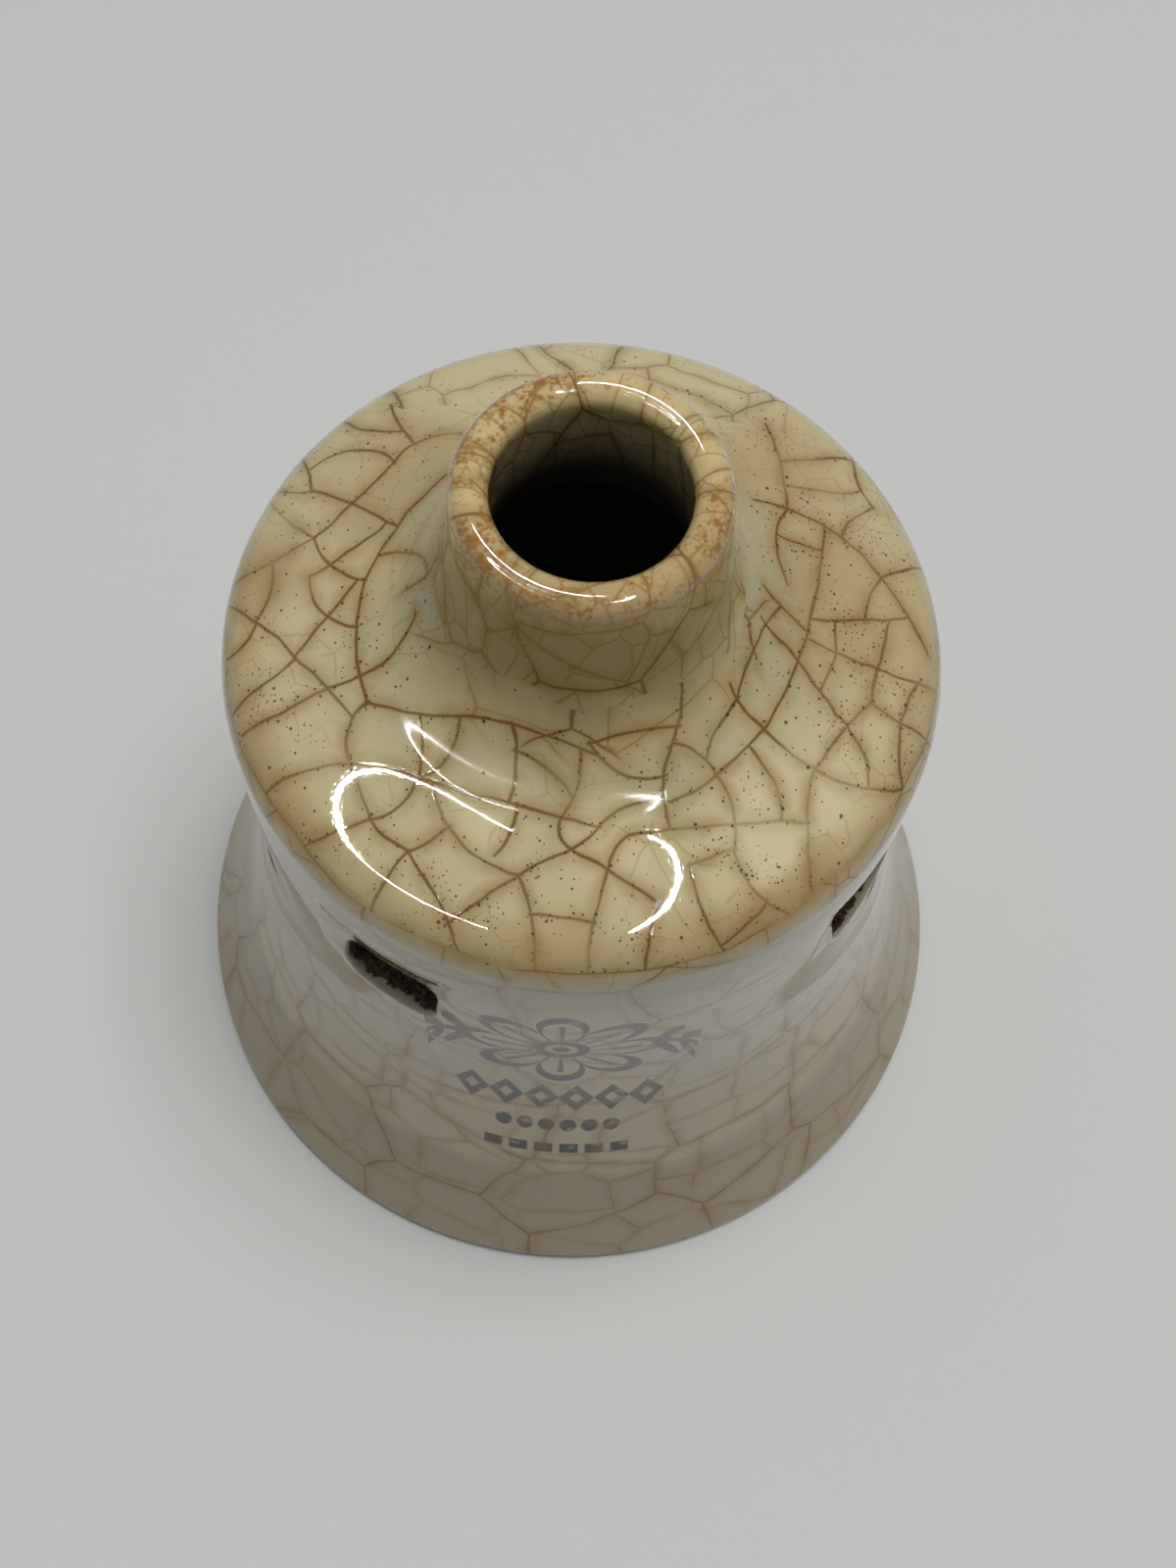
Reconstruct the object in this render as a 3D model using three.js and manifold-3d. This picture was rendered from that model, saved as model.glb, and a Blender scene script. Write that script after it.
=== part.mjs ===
// Pie funnel: one piece of slip-cast glazed earthenware, hollow and open underneath.
// It stands on its foot inside a pie, holds the crust up on its shoulder, and lets
// steam in through the vents under the shoulder and out through the neck.
// Millimetres, +Z up. The origin is the middle of the foot, on the surface it stands on.

import * as THREE from 'three';
import { mergeVertices } from 'three/addons/utils/BufferGeometryUtils.js';
import Module from 'manifold-3d';

// Foot and bell
const footRadius = 37;
const footRound = 1.2;
const footLandWidth = 1.6;
const flareAngle = 27;
const flarePull = 12;
const waistRadius = 28.7;
const waistHeight = 36;
const waistPull = 13;

// Shoulder
const shoulderRadius = 29.2;
const shoulderEdgeHeight = 59;
const shoulderPull = 8;
const shoulderRound = 4;
const shoulderSlope = 20;

// Neck and lip
const lipRadius = 10.4;
const lipHeight = 84.2;
const neckTaper = 4;
const neckFillet = 10;

// Body thickness
const wall = 3;

// Steam vents
const ventCount = 4;
const firstVentAngle = -120;
const ventBelowEdge = 10.4;
const ventWidth = 9.4;
const ventTall = 4.4;
const ventCorner = 2;
const roundestCorner = 0.48;
const ventLipFall = 20;

// Facets
const turnSegments = 64;
const cornerSteps = 4;
const innerShare = 0.5;
const steps = { foot: 4, bell: 10, side: 4, edge: 6, top: 2, hollow: 6, neck: 2, lip: 4 };

const glaze = new THREE.MeshStandardMaterial({
  color: 0xcfc19c,
  roughness: 0.18,
  metalness: 0,
});

const radians = THREE.MathUtils.degToRad;

function pointAt(middle, radius, angle) {
  return new THREE.Vector2(
    middle.x + radius * Math.cos(angle),
    middle.y + radius * Math.sin(angle),
  );
}

function arc(middle, radius, from, to) {
  return new THREE.EllipseCurve(middle.x, middle.y, radius, radius, from, to, to < from);
}

// The three round stretches of the outside are placed first, and the rest joins them.
const footMiddle = new THREE.Vector2(footRadius - footRound, footRound);
const shoulderMiddle = new THREE.Vector2(shoulderRadius - shoulderRound, shoulderEdgeHeight);
const lipRound = wall / 2;
const lipMiddle = new THREE.Vector2(lipRadius - lipRound, lipHeight - lipRound);

// Neck and shoulder meet in a hollow fillet. Its middle lies one fillet radius
// outside both straight lines, so it is where those two shifted lines cross.
function filletMiddle() {
  const slope = radians(shoulderSlope);
  const taper = radians(neckTaper);
  const reach = shoulderRound + neckFillet;
  const onSlope = pointAt(shoulderMiddle, reach, Math.PI / 2 - slope);
  const slopeWay = new THREE.Vector2(-Math.cos(slope), Math.sin(slope));
  const onNeck = pointAt(lipMiddle, lipRound + neckFillet, taper);
  const neckWay = new THREE.Vector2(Math.sin(taper), -Math.cos(taper));
  const between = onNeck.clone().sub(onSlope);
  const along = between.cross(neckWay) / slopeWay.cross(neckWay);
  return onSlope.addScaledVector(slopeWay, along);
}

// Outside of the wall from the foot up to the top of the lip, as [curve, steps].
function outsideCurves() {
  const flare = radians(flareAngle);
  const slope = radians(shoulderSlope);
  const taper = radians(neckTaper);
  const fillet = filletMiddle();
  const flareStart = pointAt(footMiddle, footRound, flare);
  const waist = new THREE.Vector2(waistRadius, waistHeight);
  const edgeEnd = Math.PI / 2 - slope;
  const hollowStart = 1.5 * Math.PI - slope;
  const hollowEnd = Math.PI + taper;

  const bell = new THREE.CubicBezierCurve(
    flareStart,
    pointAt(flareStart, flarePull, flare + Math.PI / 2),
    new THREE.Vector2(waistRadius, waistHeight - waistPull),
    waist,
  );
  const side = new THREE.CubicBezierCurve(
    waist,
    new THREE.Vector2(waistRadius, waistHeight + shoulderPull),
    new THREE.Vector2(shoulderRadius, shoulderEdgeHeight - shoulderPull),
    new THREE.Vector2(shoulderRadius, shoulderEdgeHeight),
  );
  const top = new THREE.LineCurve(
    pointAt(shoulderMiddle, shoulderRound, edgeEnd),
    pointAt(fillet, neckFillet, hollowStart),
  );
  const neck = new THREE.LineCurve(
    pointAt(fillet, neckFillet, hollowEnd),
    pointAt(lipMiddle, lipRound, taper),
  );
  return [
    [arc(footMiddle, footRound, -Math.PI / 2, flare), steps.foot],
    [bell, steps.bell],
    [side, steps.side],
    [arc(shoulderMiddle, shoulderRound, 0, edgeEnd), steps.edge],
    [top, steps.top],
    [arc(fillet, neckFillet, hollowStart, hollowEnd), steps.hollow],
    [neck, steps.neck],
    [arc(lipMiddle, lipRound, taper, Math.PI / 2), steps.lip],
  ];
}

// Points along the curves, each with the direction that looks out of the wall there.
function sampleCurves(curves, share) {
  const samples = [];
  for (const [curve, count] of curves) {
    const stretches = Math.ceil(count * share);
    for (let i = 0; i < stretches; i += 1) {
      const way = curve.getTangent(i / stretches);
      samples.push({
        point: curve.getPoint(i / stretches),
        out: new THREE.Vector2(way.y, -way.x),
      });
    }
  }
  return samples;
}

// The inside runs one wall behind the outside, between the round edges of the lip and
// the foot, and stops where the rounded inner edge of the foot takes over.
function insidePoints() {
  const betweenEdges = outsideCurves().slice(1, -1);
  return sampleCurves(betweenEdges, innerShare)
    .map((sample) => sample.point.clone().addScaledVector(sample.out, -wall))
    .filter((point) => point.y > 2 * footRound)
    .reverse();
}

// Closed section of the wall: up the outside, over the lip, down the inside,
// round the inner edge of the foot and back along the flat land that it stands on.
function bodySection() {
  const outside = sampleCurves(outsideCurves(), 1).map((sample) => sample.point);
  const taper = radians(neckTaper);
  const lipInside = arc(lipMiddle, lipRound, Math.PI / 2, Math.PI + taper);
  const innerEdge = new THREE.Vector2(footMiddle.x - footLandWidth, footRound);
  const footInside = arc(innerEdge, footRound, Math.PI, 1.5 * Math.PI);
  return [
    ...outside,
    ...lipInside.getPoints(steps.lip),
    ...insidePoints(),
    ...footInside.getPoints(steps.foot),
    outside[0].clone(),
  ];
}

function turnBody() {
  const body = new THREE.LatheGeometry(bodySection(), turnSegments);
  body.rotateX(Math.PI / 2);
  return body;
}

// A vent seen from outside: a bar with round corners, hung from its straight top edge.
// The corners never take up a whole end.
function ventOutline() {
  const half = ventWidth / 2;
  const corner = Math.min(ventCorner, roundestCorner * ventTall, roundestCorner * ventWidth);
  const quarter = Math.PI / 2;
  const outline = new THREE.Shape();
  outline.absarc(half - corner, corner - ventTall, corner, -quarter, 0, false);
  outline.absarc(half - corner, -corner, corner, 0, quarter, false);
  outline.absarc(corner - half, -corner, corner, quarter, 2 * quarter, false);
  outline.absarc(corner - half, corner - ventTall, corner, 2 * quarter, 3 * quarter, false);
  outline.closePath();
  return outline;
}

// The cutter looks along the radius. It starts inside the hollow and, tipped down by
// fall degrees, leaves a lower lip that runs down towards the outside.
function ventCutter(angle, start, fall) {
  const cutter = new THREE.ExtrudeGeometry(ventOutline(), {
    depth: footRadius - start,
    bevelEnabled: false,
    curveSegments: cornerSteps,
  });
  cutter.rotateX(radians(fall));
  const radial = new THREE.Vector3(Math.cos(angle), Math.sin(angle), 0);
  const up = new THREE.Vector3(0, 0, 1);
  const across = new THREE.Vector3().crossVectors(up, radial);
  const place = new THREE.Matrix4().makeBasis(across, up, radial);
  place.setPosition(radial.multiplyScalar(start).setZ(shoulderEdgeHeight - ventBelowEdge));
  cutter.applyMatrix4(place);
  return cutter;
}

function ventCutters() {
  const innerFace = waistRadius - wall;
  const cutters = [];
  for (let i = 0; i < ventCount; i += 1) {
    const angle = radians(firstVentAngle + (360 * i) / ventCount);
    cutters.push(ventCutter(angle, innerFace - wall, 0));
    cutters.push(ventCutter(angle, innerFace, ventLipFall));
  }
  return cutters;
}

const wasm = await Module();
wasm.setup();

function toSolid(geometry) {
  geometry.deleteAttribute('normal');
  geometry.deleteAttribute('uv');
  const merged = mergeVertices(geometry);
  return new wasm.Manifold(new wasm.Mesh({
    numProp: 3,
    vertProperties: new Float32Array(merged.attributes.position.array),
    triVerts: new Uint32Array(merged.index.array),
  }));
}

function toGeometry(solid) {
  const mesh = solid.getMesh();
  const geometry = new THREE.BufferGeometry();
  geometry.setAttribute('position', new THREE.BufferAttribute(mesh.vertProperties, 3));
  geometry.setIndex(new THREE.BufferAttribute(mesh.triVerts, 1));
  geometry.computeVertexNormals();
  return geometry;
}

function buildBody() {
  let body = toSolid(turnBody());
  for (const cutter of ventCutters()) {
    body = body.subtract(toSolid(cutter));
  }
  const mesh = new THREE.Mesh(toGeometry(body), glaze);
  mesh.name = 'funnel_body';
  return mesh;
}

const pieFunnel = new THREE.Group();
pieFunnel.add(buildBody());

export default pieFunnel;
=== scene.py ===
import functools
import math
import random

import bmesh
import bpy
import numpy as np
from bpy.props import FloatProperty, FloatVectorProperty, IntProperty, PointerProperty
from mathutils import Matrix, Vector, noise
from mathutils.geometry import interpolate_bezier


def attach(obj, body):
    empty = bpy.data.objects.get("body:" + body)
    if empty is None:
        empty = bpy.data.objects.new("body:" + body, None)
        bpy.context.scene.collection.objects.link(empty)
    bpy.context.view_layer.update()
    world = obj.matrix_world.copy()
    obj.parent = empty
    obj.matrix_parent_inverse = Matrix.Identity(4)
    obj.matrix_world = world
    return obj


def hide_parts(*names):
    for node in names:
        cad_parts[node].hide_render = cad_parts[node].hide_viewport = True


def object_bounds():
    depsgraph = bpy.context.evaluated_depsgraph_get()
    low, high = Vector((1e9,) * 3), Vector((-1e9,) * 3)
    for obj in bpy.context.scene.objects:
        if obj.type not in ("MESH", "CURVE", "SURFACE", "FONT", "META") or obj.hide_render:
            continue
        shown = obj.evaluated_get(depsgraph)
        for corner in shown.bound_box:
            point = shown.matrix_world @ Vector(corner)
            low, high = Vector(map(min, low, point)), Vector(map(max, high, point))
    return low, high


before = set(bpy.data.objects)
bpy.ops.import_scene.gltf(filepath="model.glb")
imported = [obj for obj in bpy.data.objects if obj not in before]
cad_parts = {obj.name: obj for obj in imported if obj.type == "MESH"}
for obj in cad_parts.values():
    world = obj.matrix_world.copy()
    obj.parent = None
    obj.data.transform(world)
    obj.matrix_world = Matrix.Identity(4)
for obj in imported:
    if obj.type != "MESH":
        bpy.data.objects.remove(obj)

bl_info = {
    "name": "Pie Funnel",
    "version": (1, 0, 0),
    "blender": (4, 5, 0),
    "location": "3D View > Sidebar > Pie Funnel",
    "description": "Turns a crazed earthenware pie funnel and sets it on a pale table",
    "category": "Add Mesh",
}

CAD_BOX = [list(corner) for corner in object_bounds()]
FRAME_RADIUS = CAD_BOX[1][0]
FRAME_HEIGHT = CAD_BOX[1][2]

MM = 0.001
TURN = 2 * math.pi
QUARTER = math.pi / 2
FRONT = -QUARTER
SAME_PLACE = 0.001 * MM

# How finely the wall is turned
SPIN_STEPS = 192
ROWS = {"foot": 10, "bell": 36, "side": 16, "edge": 14, "top": 16, "hollow": 20, "neck": 14}
LIP_STEPS = 10
FOOT_INSIDE_STEPS = 8
LAND_STEPS = 3

# Where each vent's patch lies in the grid of the side, in rows and columns
PATCH_FIRST_ROW = 3
PATCH_LAST_ROW = 13
PATCH_HALF_COLUMNS = 8

# Cracks of the shoulder, in millimetres on its spread-out surface with the front at
# negative y. Each has its start, a point about half-way, and its end.
SHOULDER_CRACKS = [
    ((-10.8, 15.1), (-13.2, 15), (-15.9, 12.5)),
    ((-15.9, 12.5), (-18.9, 8.6), (-21.7, 5.6)),
    ((-21.7, 5.6), (-25.1, 4), (-29.6, 2.6)),
    ((-17.2, 19.5), (-16, 16.6), (-14.5, 14.4)),
    ((-22, 19.6), (-19, 16.8), (-15.7, 16)),
    ((-23.2, 13.2), (-19.8, 14.5), (-15.9, 12.5)),
    ((-27.2, 18.8), (-24.3, 14.6), (-22.6, 10.5)),
    ((-29.5, 18.2), (-27.6, 12.6), (-22.6, 10.5)),
    ((-22.6, 10.5), (-18.4, 8.3), (-14.9, 5.8)),
    ((-26.8, 10.5), (-24.4, 7.9), (-21.7, 5.6)),
    ((-21.7, 5.6), (-19.9, 2.9), (-16.8, 1.2)),
    ((-15.7, 6.3), (-18.6, 3.8), (-21.6, 2)),
    ((-25.2, 4), (-24.9, 1.6), (-25.9, -1.3)),
    ((-21.6, 2), (-19.9, -1.5), (-17.1, -2.7)),
    ((-11.5, 10.1), (-14.6, 5.8), (-16.8, 1)),
    ((-16.8, 1), (-17.1, -3), (-15.9, -8.8)),
    ((-15.8, 3.2), (-12.2, 2.3), (-9.9, -0.2)),
    ((-30, 1.3), (-25.9, -1.3), (-22, -4.9)),
    ((-22, -4.9), (-19.2, -7.5), (-17, -10)),
    ((-25.8, -1.6), (-26.9, -3.3), (-28.6, -4.2)),
    ((-22, -4.8), (-19.7, -1.8), (-17.5, 1.2)),
    ((-22, -5), (-25, -7.1), (-28, -9.1)),
    ((-26.5, -10.8), (-22.6, -9.2), (-19.1, -7.6)),
    ((-19.1, -7.6), (-14.8, -5.9), (-11.5, -2.6)),
    ((-15.9, -8.8), (-17.2, -11), (-16.9, -13.7)),
    ((-15.9, -8.8), (-10.9, -9.9), (-6.3, -10.1)),
    ((-6.3, -10.1), (-3.1, -10.9), (1.1, -12.5)),
    ((0.6, -11.6), (2, -13.4), (6.3, -13.9)),
    ((0.6, -11.6), (3.2, -10.6), (6.6, -10)),
    ((6.6, -11.3), (8.7, -11.9), (10.1, -13.4)),
    ((5.4, -6.9), (6.4, -9), (6.4, -11.4)),
    ((6.4, -11.4), (6.2, -14), (7, -17.6)),
    ((13.6, -9.6), (10.6, -13), (6.9, -15.8)),
    ((6.9, -15.8), (3.8, -16.2), (1.8, -18)),
    ((-24.5, -15.7), (-18.5, -13.7), (-11.6, -14.7)),
    ((-11.6, -14.7), (-4.7, -16.5), (1.8, -18)),
    ((-11.6, -10), (-11.5, -12.5), (-11.6, -14.7)),
    ((-8.4, -10.3), (-9.3, -12.9), (-11.6, -14.7)),
    ((-4.6, -10.5), (-4.3, -12.8), (-4.9, -16.4)),
    ((-4.4, -12.6), (-2, -13.9), (-0.4, -15.8)),
    ((0.1, -12.3), (0, -14.9), (-0.9, -17.3)),
    ((-0.9, -17.3), (-1.1, -18.7), (-0.2, -19.6)),
    ((2.6, -21), (3.1, -19.4), (4.9, -18.2)),
    ((4.9, -18.2), (11, -17.1), (17.6, -16.2)),
    ((1.8, -18), (1, -18.9), (-0.2, -19.6)),
    ((-0.2, -19.6), (-3.8, -21.8), (-9.2, -25.8)),
    ((-0.2, -19.6), (3, -21.4), (6.5, -23.3)),
    ((2.6, -21), (1.9, -25), (1.6, -29.2)),
    ((-3.9, -22), (-2.7, -25.5), (-2.4, -29.3)),
    ((-2.9, -24.8), (-0.5, -24.8), (1.9, -25.1)),
    ((-11.6, -14.7), (-13.2, -17), (-15.1, -17.9)),
    ((-16.2, -15.3), (-15.1, -17.9), (-12.3, -20.4)),
    ((-12.3, -20.4), (-10.2, -23.2), (-8.1, -29.2)),
    ((-20.8, -20), (-18, -18.8), (-15.1, -17.9)),
    ((-10.6, -15), (-9, -18.9), (-3.8, -21.8)),
    ((-12.3, -20.4), (-10.8, -19.6), (-9.2, -18.5)),
    ((-4.3, -16.6), (-4.6, -18.6), (-5.7, -20.4)),
    ((-12.3, -20.4), (-14.3, -23), (-15.8, -26.5)),
    ((10.1, -6.8), (13.4, -9.4), (18, -12)),
    ((11.1, -7.4), (10, -9.5), (9.3, -12.2)),
    ((12.7, -11), (14.8, -13.6), (15.6, -16.3)),
    ((10.1, -13.4), (11.6, -16), (12, -19)),
    ((12, -19), (10.5, -19.5), (8.7, -20.4)),
    ((12, -19), (14.4, -22.2), (17.8, -23.5)),
    ((8.7, -20.4), (10.3, -24.2), (13.6, -27.8)),
    ((14.9, -22.5), (13.6, -24.4), (12, -26)),
    ((6.5, -23.3), (6.1, -26), (6.1, -29.7)),
    ((18, -12), (17.5, -16), (19, -22)),
    ((18.4, 9.3), (18, 5), (17.2, 0.3)),
    ((17.2, 0.3), (16.2, -3.6), (13.6, -9.6)),
    ((13.9, 19.3), (14.9, 14.6), (15.2, 10.1)),
    ((12.5, 10.3), (18.3, 9.3), (23.5, 5.6)),
    ((23.5, 5.6), (25.8, 2.7), (27.6, -0.3)),
    ((15.1, 12.7), (18.5, 13), (22.1, 14.2)),
    ((21.8, 19.3), (21.6, 16), (23.1, 12.8)),
    ((23.1, 12.8), (21.3, 10.9), (19.9, 8.6)),
    ((15, 15.3), (18, 16.6), (21.6, 18)),
    ((23.5, 5.7), (26, 7.4), (29.4, 8.9)),
    ((15.2, 10.1), (14.2, 6.4), (15, 2.8)),
    ((14.4, 7.3), (16, 7), (17.9, 6.8)),
    ((12.5, 1.5), (14.5, 0.4), (17, -1)),
    ((12.5, -1.2), (16.2, -3.7), (19.5, -7.4)),
    ((19.5, -7.4), (21.5, -9.2), (22.6, -12.8)),
    ((14.3, 0.4), (12, -3.2), (11, -7.3)),
    ((17.3, 0.3), (20.1, 0.6), (25.8, 2.6)),
    ((22, 1.1), (22.2, 3), (23.5, 5.5)),
    ((19.2, 0.4), (19.2, -2.9), (18.3, -5.5)),
    ((17.2, -1.6), (22, -2.8), (29.6, -3.2)),
    ((24.1, 1.6), (23.1, -2.4), (22.4, -5.9)),
    ((22.4, -5.9), (25, -6.8), (28.6, -7.7)),
    ((26.8, -3.1), (25.2, -7), (25.9, -12.3)),
    ((22.4, -5.9), (19.9, -9), (18, -12)),
    ((18, -12), (22.8, -12.9), (28, -11.2)),
]
LEAST_BOW = 0.04

# Lit strips overhead: x, y and half the thickness of each point, in millimetres
LEFT_STRIP = [
    (-110, -135, 0.4), (-300, -40, 1), (-430, -18, 2.6), (-515, -60, 5), (-522, -125, 3.6),
    (-466, -208, 1.6), (-323, -311, 0.7), (-170, -375, 0.4),
]
RIGHT_STRIP = [
    (140, -128, 0.4), (172, -146, 1.4), (205, -185, 3.4), (214, -250, 3.8), (180, -310, 2),
    (130, -347, 0.7),
]
BACK_STRIP = [(-250, 270, 3), (-110, 180, 5), (38, 100, 3)]
STRIP_HEIGHT = 0.7

# The lamp and the table, in metres
LAMP_PLACE = (0.12, 0.03, 1)
LAMP_SIZE = 0.4
TABLE_HALF_WIDTH = 1.5

# Where the glaze is grainy on the spread-out shoulder: middle and reach, in millimetres
GRAINY_SPOTS = [
    ((-16.5, -16), 5.5),
    ((7.5, -20.5), 6),
    ((16, -17), 7),
]

# Where a painted sheen makes the glaze paler, and where it is browner, in the same way
PAINTED_SHEEN_SPOTS = [
    ((16, -17), 10),
    ((3, -19), 5),
    ((-6, -17), 5),
]
GRIMY_SPOTS = [
    ((21, 3), 13),
    ((15, 14), 10),
    ((-17, 12), 10),
    ((-26, 3), 6),
]

# Where pinholes crowd on that surface: middle and reach, in millimetres
PINHOLE_CROWDS = [
    ((20, 4), 8),
    ((16, 13), 6),
    ((24, -8), 7),
    ((13, -17), 7),
    ((5, -23), 6),
    ((-7, -22), 6),
    ((-26, -8), 5),
]

# Layers of pinholes: spacing and largest radius in millimetres, and how many are there
PINHOLE_LAYERS = [
    (0.55, 0.09, 1.0),
    (0.9, 0.13, 0.85),
    (1.7, 0.17, 0.6),
]


def length(name, description, default):
    """A length that the sidebar shows in the scene's unit."""
    return FloatProperty(
        name=name, description=description, default=default,
        min=0.0, precision=5, subtype="DISTANCE", unit="LENGTH",
    )


def angle(name, description, degrees):
    """An angle that the sidebar shows in degrees."""
    return FloatProperty(
        name=name, description=description, default=math.radians(degrees),
        subtype="ANGLE", unit="ROTATION",
    )


def screen_to_linear(value):
    if value <= 0.04045:
        return value / 12.92
    return ((value + 0.055) / 1.055) ** 2.4


def colour(name, description, red, green, blue):
    """A colour written as it looks on screen, with channels from 0 to 255."""
    return FloatVectorProperty(
        name=name, description=description, size=3, subtype="COLOR", min=0.0, max=1.0,
        default=[screen_to_linear(channel / 255) for channel in (red, green, blue)],
    )


class FunnelSizes(bpy.types.PropertyGroup):
    """Real sizes of the pot, as the maker's drawing would give them."""

    foot_radius: length("Foot Radius", "Widest radius of the flared foot", FRAME_RADIUS)
    foot_round: length("Foot Round", "Rounding of the foot's edges", 1.2 * MM)
    land_width: length("Land Width", "Flat ring that the pot stands on", 1.6 * MM)
    flare_angle: angle("Flare Angle", "Lean of the bell where it leaves the foot", 27)
    flare_pull: length("Flare Pull", "How long the bell keeps that lean", 12 * MM)
    waist_radius: length("Waist Radius", "Narrowest radius of the bell", 28.7 * MM)
    waist_height: length("Waist Height", "Height of the waist", 36 * MM)
    waist_pull: length("Waist Pull", "How long the waist stays upright below", 13 * MM)
    shoulder_radius: length("Shoulder Radius", "Radius at the shoulder edge", 29.2 * MM)
    shoulder_height: length("Shoulder Height", "Height of the shoulder edge", 59 * MM)
    shoulder_pull: length("Shoulder Pull", "How long the side stays upright", 8 * MM)
    shoulder_round: length("Shoulder Round", "Rounding of the shoulder edge", 4 * MM)
    shoulder_slope: angle("Shoulder Slope", "Fall of the shoulder to its edge", 20)
    shoulder_dome: angle("Shoulder Dome", "How much that fall changes on its way", 4.5)
    lip_radius: length("Lip Radius", "Outer radius of the lip", 10.4 * MM)
    lip_height: length("Lip Height", "Height of the lip", FRAME_HEIGHT)
    neck_taper: angle("Neck Taper", "Lean of the neck", 4)
    neck_fillet: length("Neck Fillet", "Hollow between the neck and the shoulder", 10 * MM)
    wall: length("Wall", "Thickness of the fired wall", 3 * MM)
    lean: length("Lean", "How far the shoulder leans to one side", 0.22 * MM)
    unevenness: length("Unevenness", "Depth of the hand-finished unevenness", 0.09 * MM)


class VentSizes(bpy.types.PropertyGroup):
    """The steam vents that are cut under the shoulder."""

    count: IntProperty(name="Vents", description="Number of vents", default=4, min=1)
    first_angle: angle("First Vent", "Direction of the first vent, from +X", -120)
    below_edge: length("Below Edge", "From the shoulder edge down to a vent", 10.4 * MM)
    width: length("Width", "Width of a vent, with the glaze in its corners", 8.8 * MM)
    tall: length("Tall", "Height of the straight slot", 4.4 * MM)
    corner: length("Corner", "Corner radius of a vent", 2 * MM)
    lip_fall: angle("Lip Fall", "Fall of the lower lip towards the outside", 20)
    sharp_edge: length("Sharp Edge", "Rounding along the upper edge", 0.25 * MM)
    soft_edge: length("Soft Edge", "Rounding of the scooped lower lip", 1.1 * MM)
    inner_edge: length("Inner Edge", "Rounding on the inside", 0.5 * MM)
    dent: length("Dent", "How far the wall is pressed in above a vent", 0.75 * MM)
    crumbs: IntProperty(name="Crumbs", description="Baked-on crumbs in a vent", default=320)
    crumb_size: length("Crumb Size", "Largest radius of a crumb", 0.34 * MM)


class GlazeColours(bpy.types.PropertyGroup):
    """Colours of the clay, the glaze, the print, the kitchen stains and the painted shade, sheen
    and reflection.
    """

    glaze: colour("Glaze", "Cream glaze on the shoulder", 187, 173, 132)
    # Painted sheen: paler glaze where soft reflections fall on the front of the shoulder.
    painted_sheen_glaze: colour("Pale Glaze", "Clean ivory glaze in places", 208, 194, 154)
    # Painted reflection: the side's greyer tint stands for the grey surroundings it reflects.
    wall_glaze_painted_reflection: colour("Wall Glaze", "Glaze on the side, greyer than on top", 176, 163, 138)
    # Partly painted shade: thick glaze in the hollow round the neck, darkened further for the
    # shade there.
    pooled_and_shade: colour("Pooled Glaze", "Thick glaze in hollows", 160, 153, 121)
    lip_glaze: colour("Lip Glaze", "Thin warm glaze on the lip", 188, 166, 114)
    # Partly painted shade: along the front of the shoulder's edge it stands for shade there; on
    # the side it tints real brown stains.
    ochre_stain_and_shade: colour("Ochre", "Glaze stained along the shoulder edge", 143, 114, 62)
    # Also painted shade: darkens the neck and the hollow below the lip, most at the front. The
    # grimy spots on the shoulder are real grime.
    grime_and_shade: colour("Grime", "Tea-brown film on the neck and in places", 148, 122, 78)
    fine_crack: colour("Fine Cracks", "Young cracks", 130, 98, 34)
    old_crack: colour("Old Cracks", "Cracks with dirt in them", 98, 64, 6)
    pinhole: colour("Pinholes", "Specks in the glaze", 50, 30, 6)
    rust: colour("Rust Stain", "Baked-on stain on the lip", 136, 90, 12)
    soot: colour("Soot", "Burnt juice", 50, 36, 20)
    # Also painted shade low on the side and under the shoulder's edge.
    olive_and_shade: colour("Olive", "Thin glaze over clay at the foot and the vents", 128, 122, 98)
    print_ink: colour("Print", "Print under the glaze", 14, 24, 31)
    clay: colour("Clay", "Bare clay of the foot's land", 196, 178, 146)
    # Partly painted shade: stained, and made near black for the unlit inside.
    inside: colour("Inside", "Stained glaze inside the bell", 34, 26, 17)


class CrackleSizes(bpy.types.PropertyGroup):
    """Sizes of the crazing, in millimetres on the glaze."""

    large: FloatProperty(name="Large Cells", description="Cells of the old cracks", default=13)
    middle: FloatProperty(name="Middle Cells", description="Cells inside those", default=7.5)
    small: FloatProperty(name="Small Cells", description="Faint cells in places", default=3.6)
    bend: FloatProperty(name="Bend", description="How far cracks wander", default=3.0)
    line: FloatProperty(name="Line", description="Half the width of a crack", default=0.085)
    halo: FloatProperty(name="Halo", description="Reach of the stain beside it", default=0.8)
    shoulder_ring: length(
        "Shoulder Ring", "From the side up to the crack round the shoulder's edge", 2.2 * MM)
    neck_ring: length("Neck Ring", "Radius of the crack round the foot of the neck", 11.7 * MM)


class StageSetting(bpy.types.PropertyGroup):
    """Table and light."""

    table: colour("Table", "Pale table top", 195, 195, 193)
    lamp: FloatProperty(name="Lamp", description="Power of the lamp, in watts", default=6.6)
    strip: FloatProperty(name="Strip", description="Brightness of the lit strips", default=340)
    sky: FloatProperty(name="Sky", description="Strength of the light all round", default=0.4)
    front_shade: FloatProperty(
        name="Front Shade", description="Share of it that the photographer keeps off", default=0.5)
    backdrop: FloatProperty(
        name="Backdrop", description="How light the background looks", default=0.45)


def polar(middle, radius, turn):
    return middle + radius * Vector((math.cos(turn), math.sin(turn)))


def round_stretch(middle, radius, start, end, steps):
    """Points of an arc of a section. Its last point is left to the next stretch."""
    return [polar(middle, radius, start + (end - start) * i / steps) for i in range(steps)]


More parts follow.
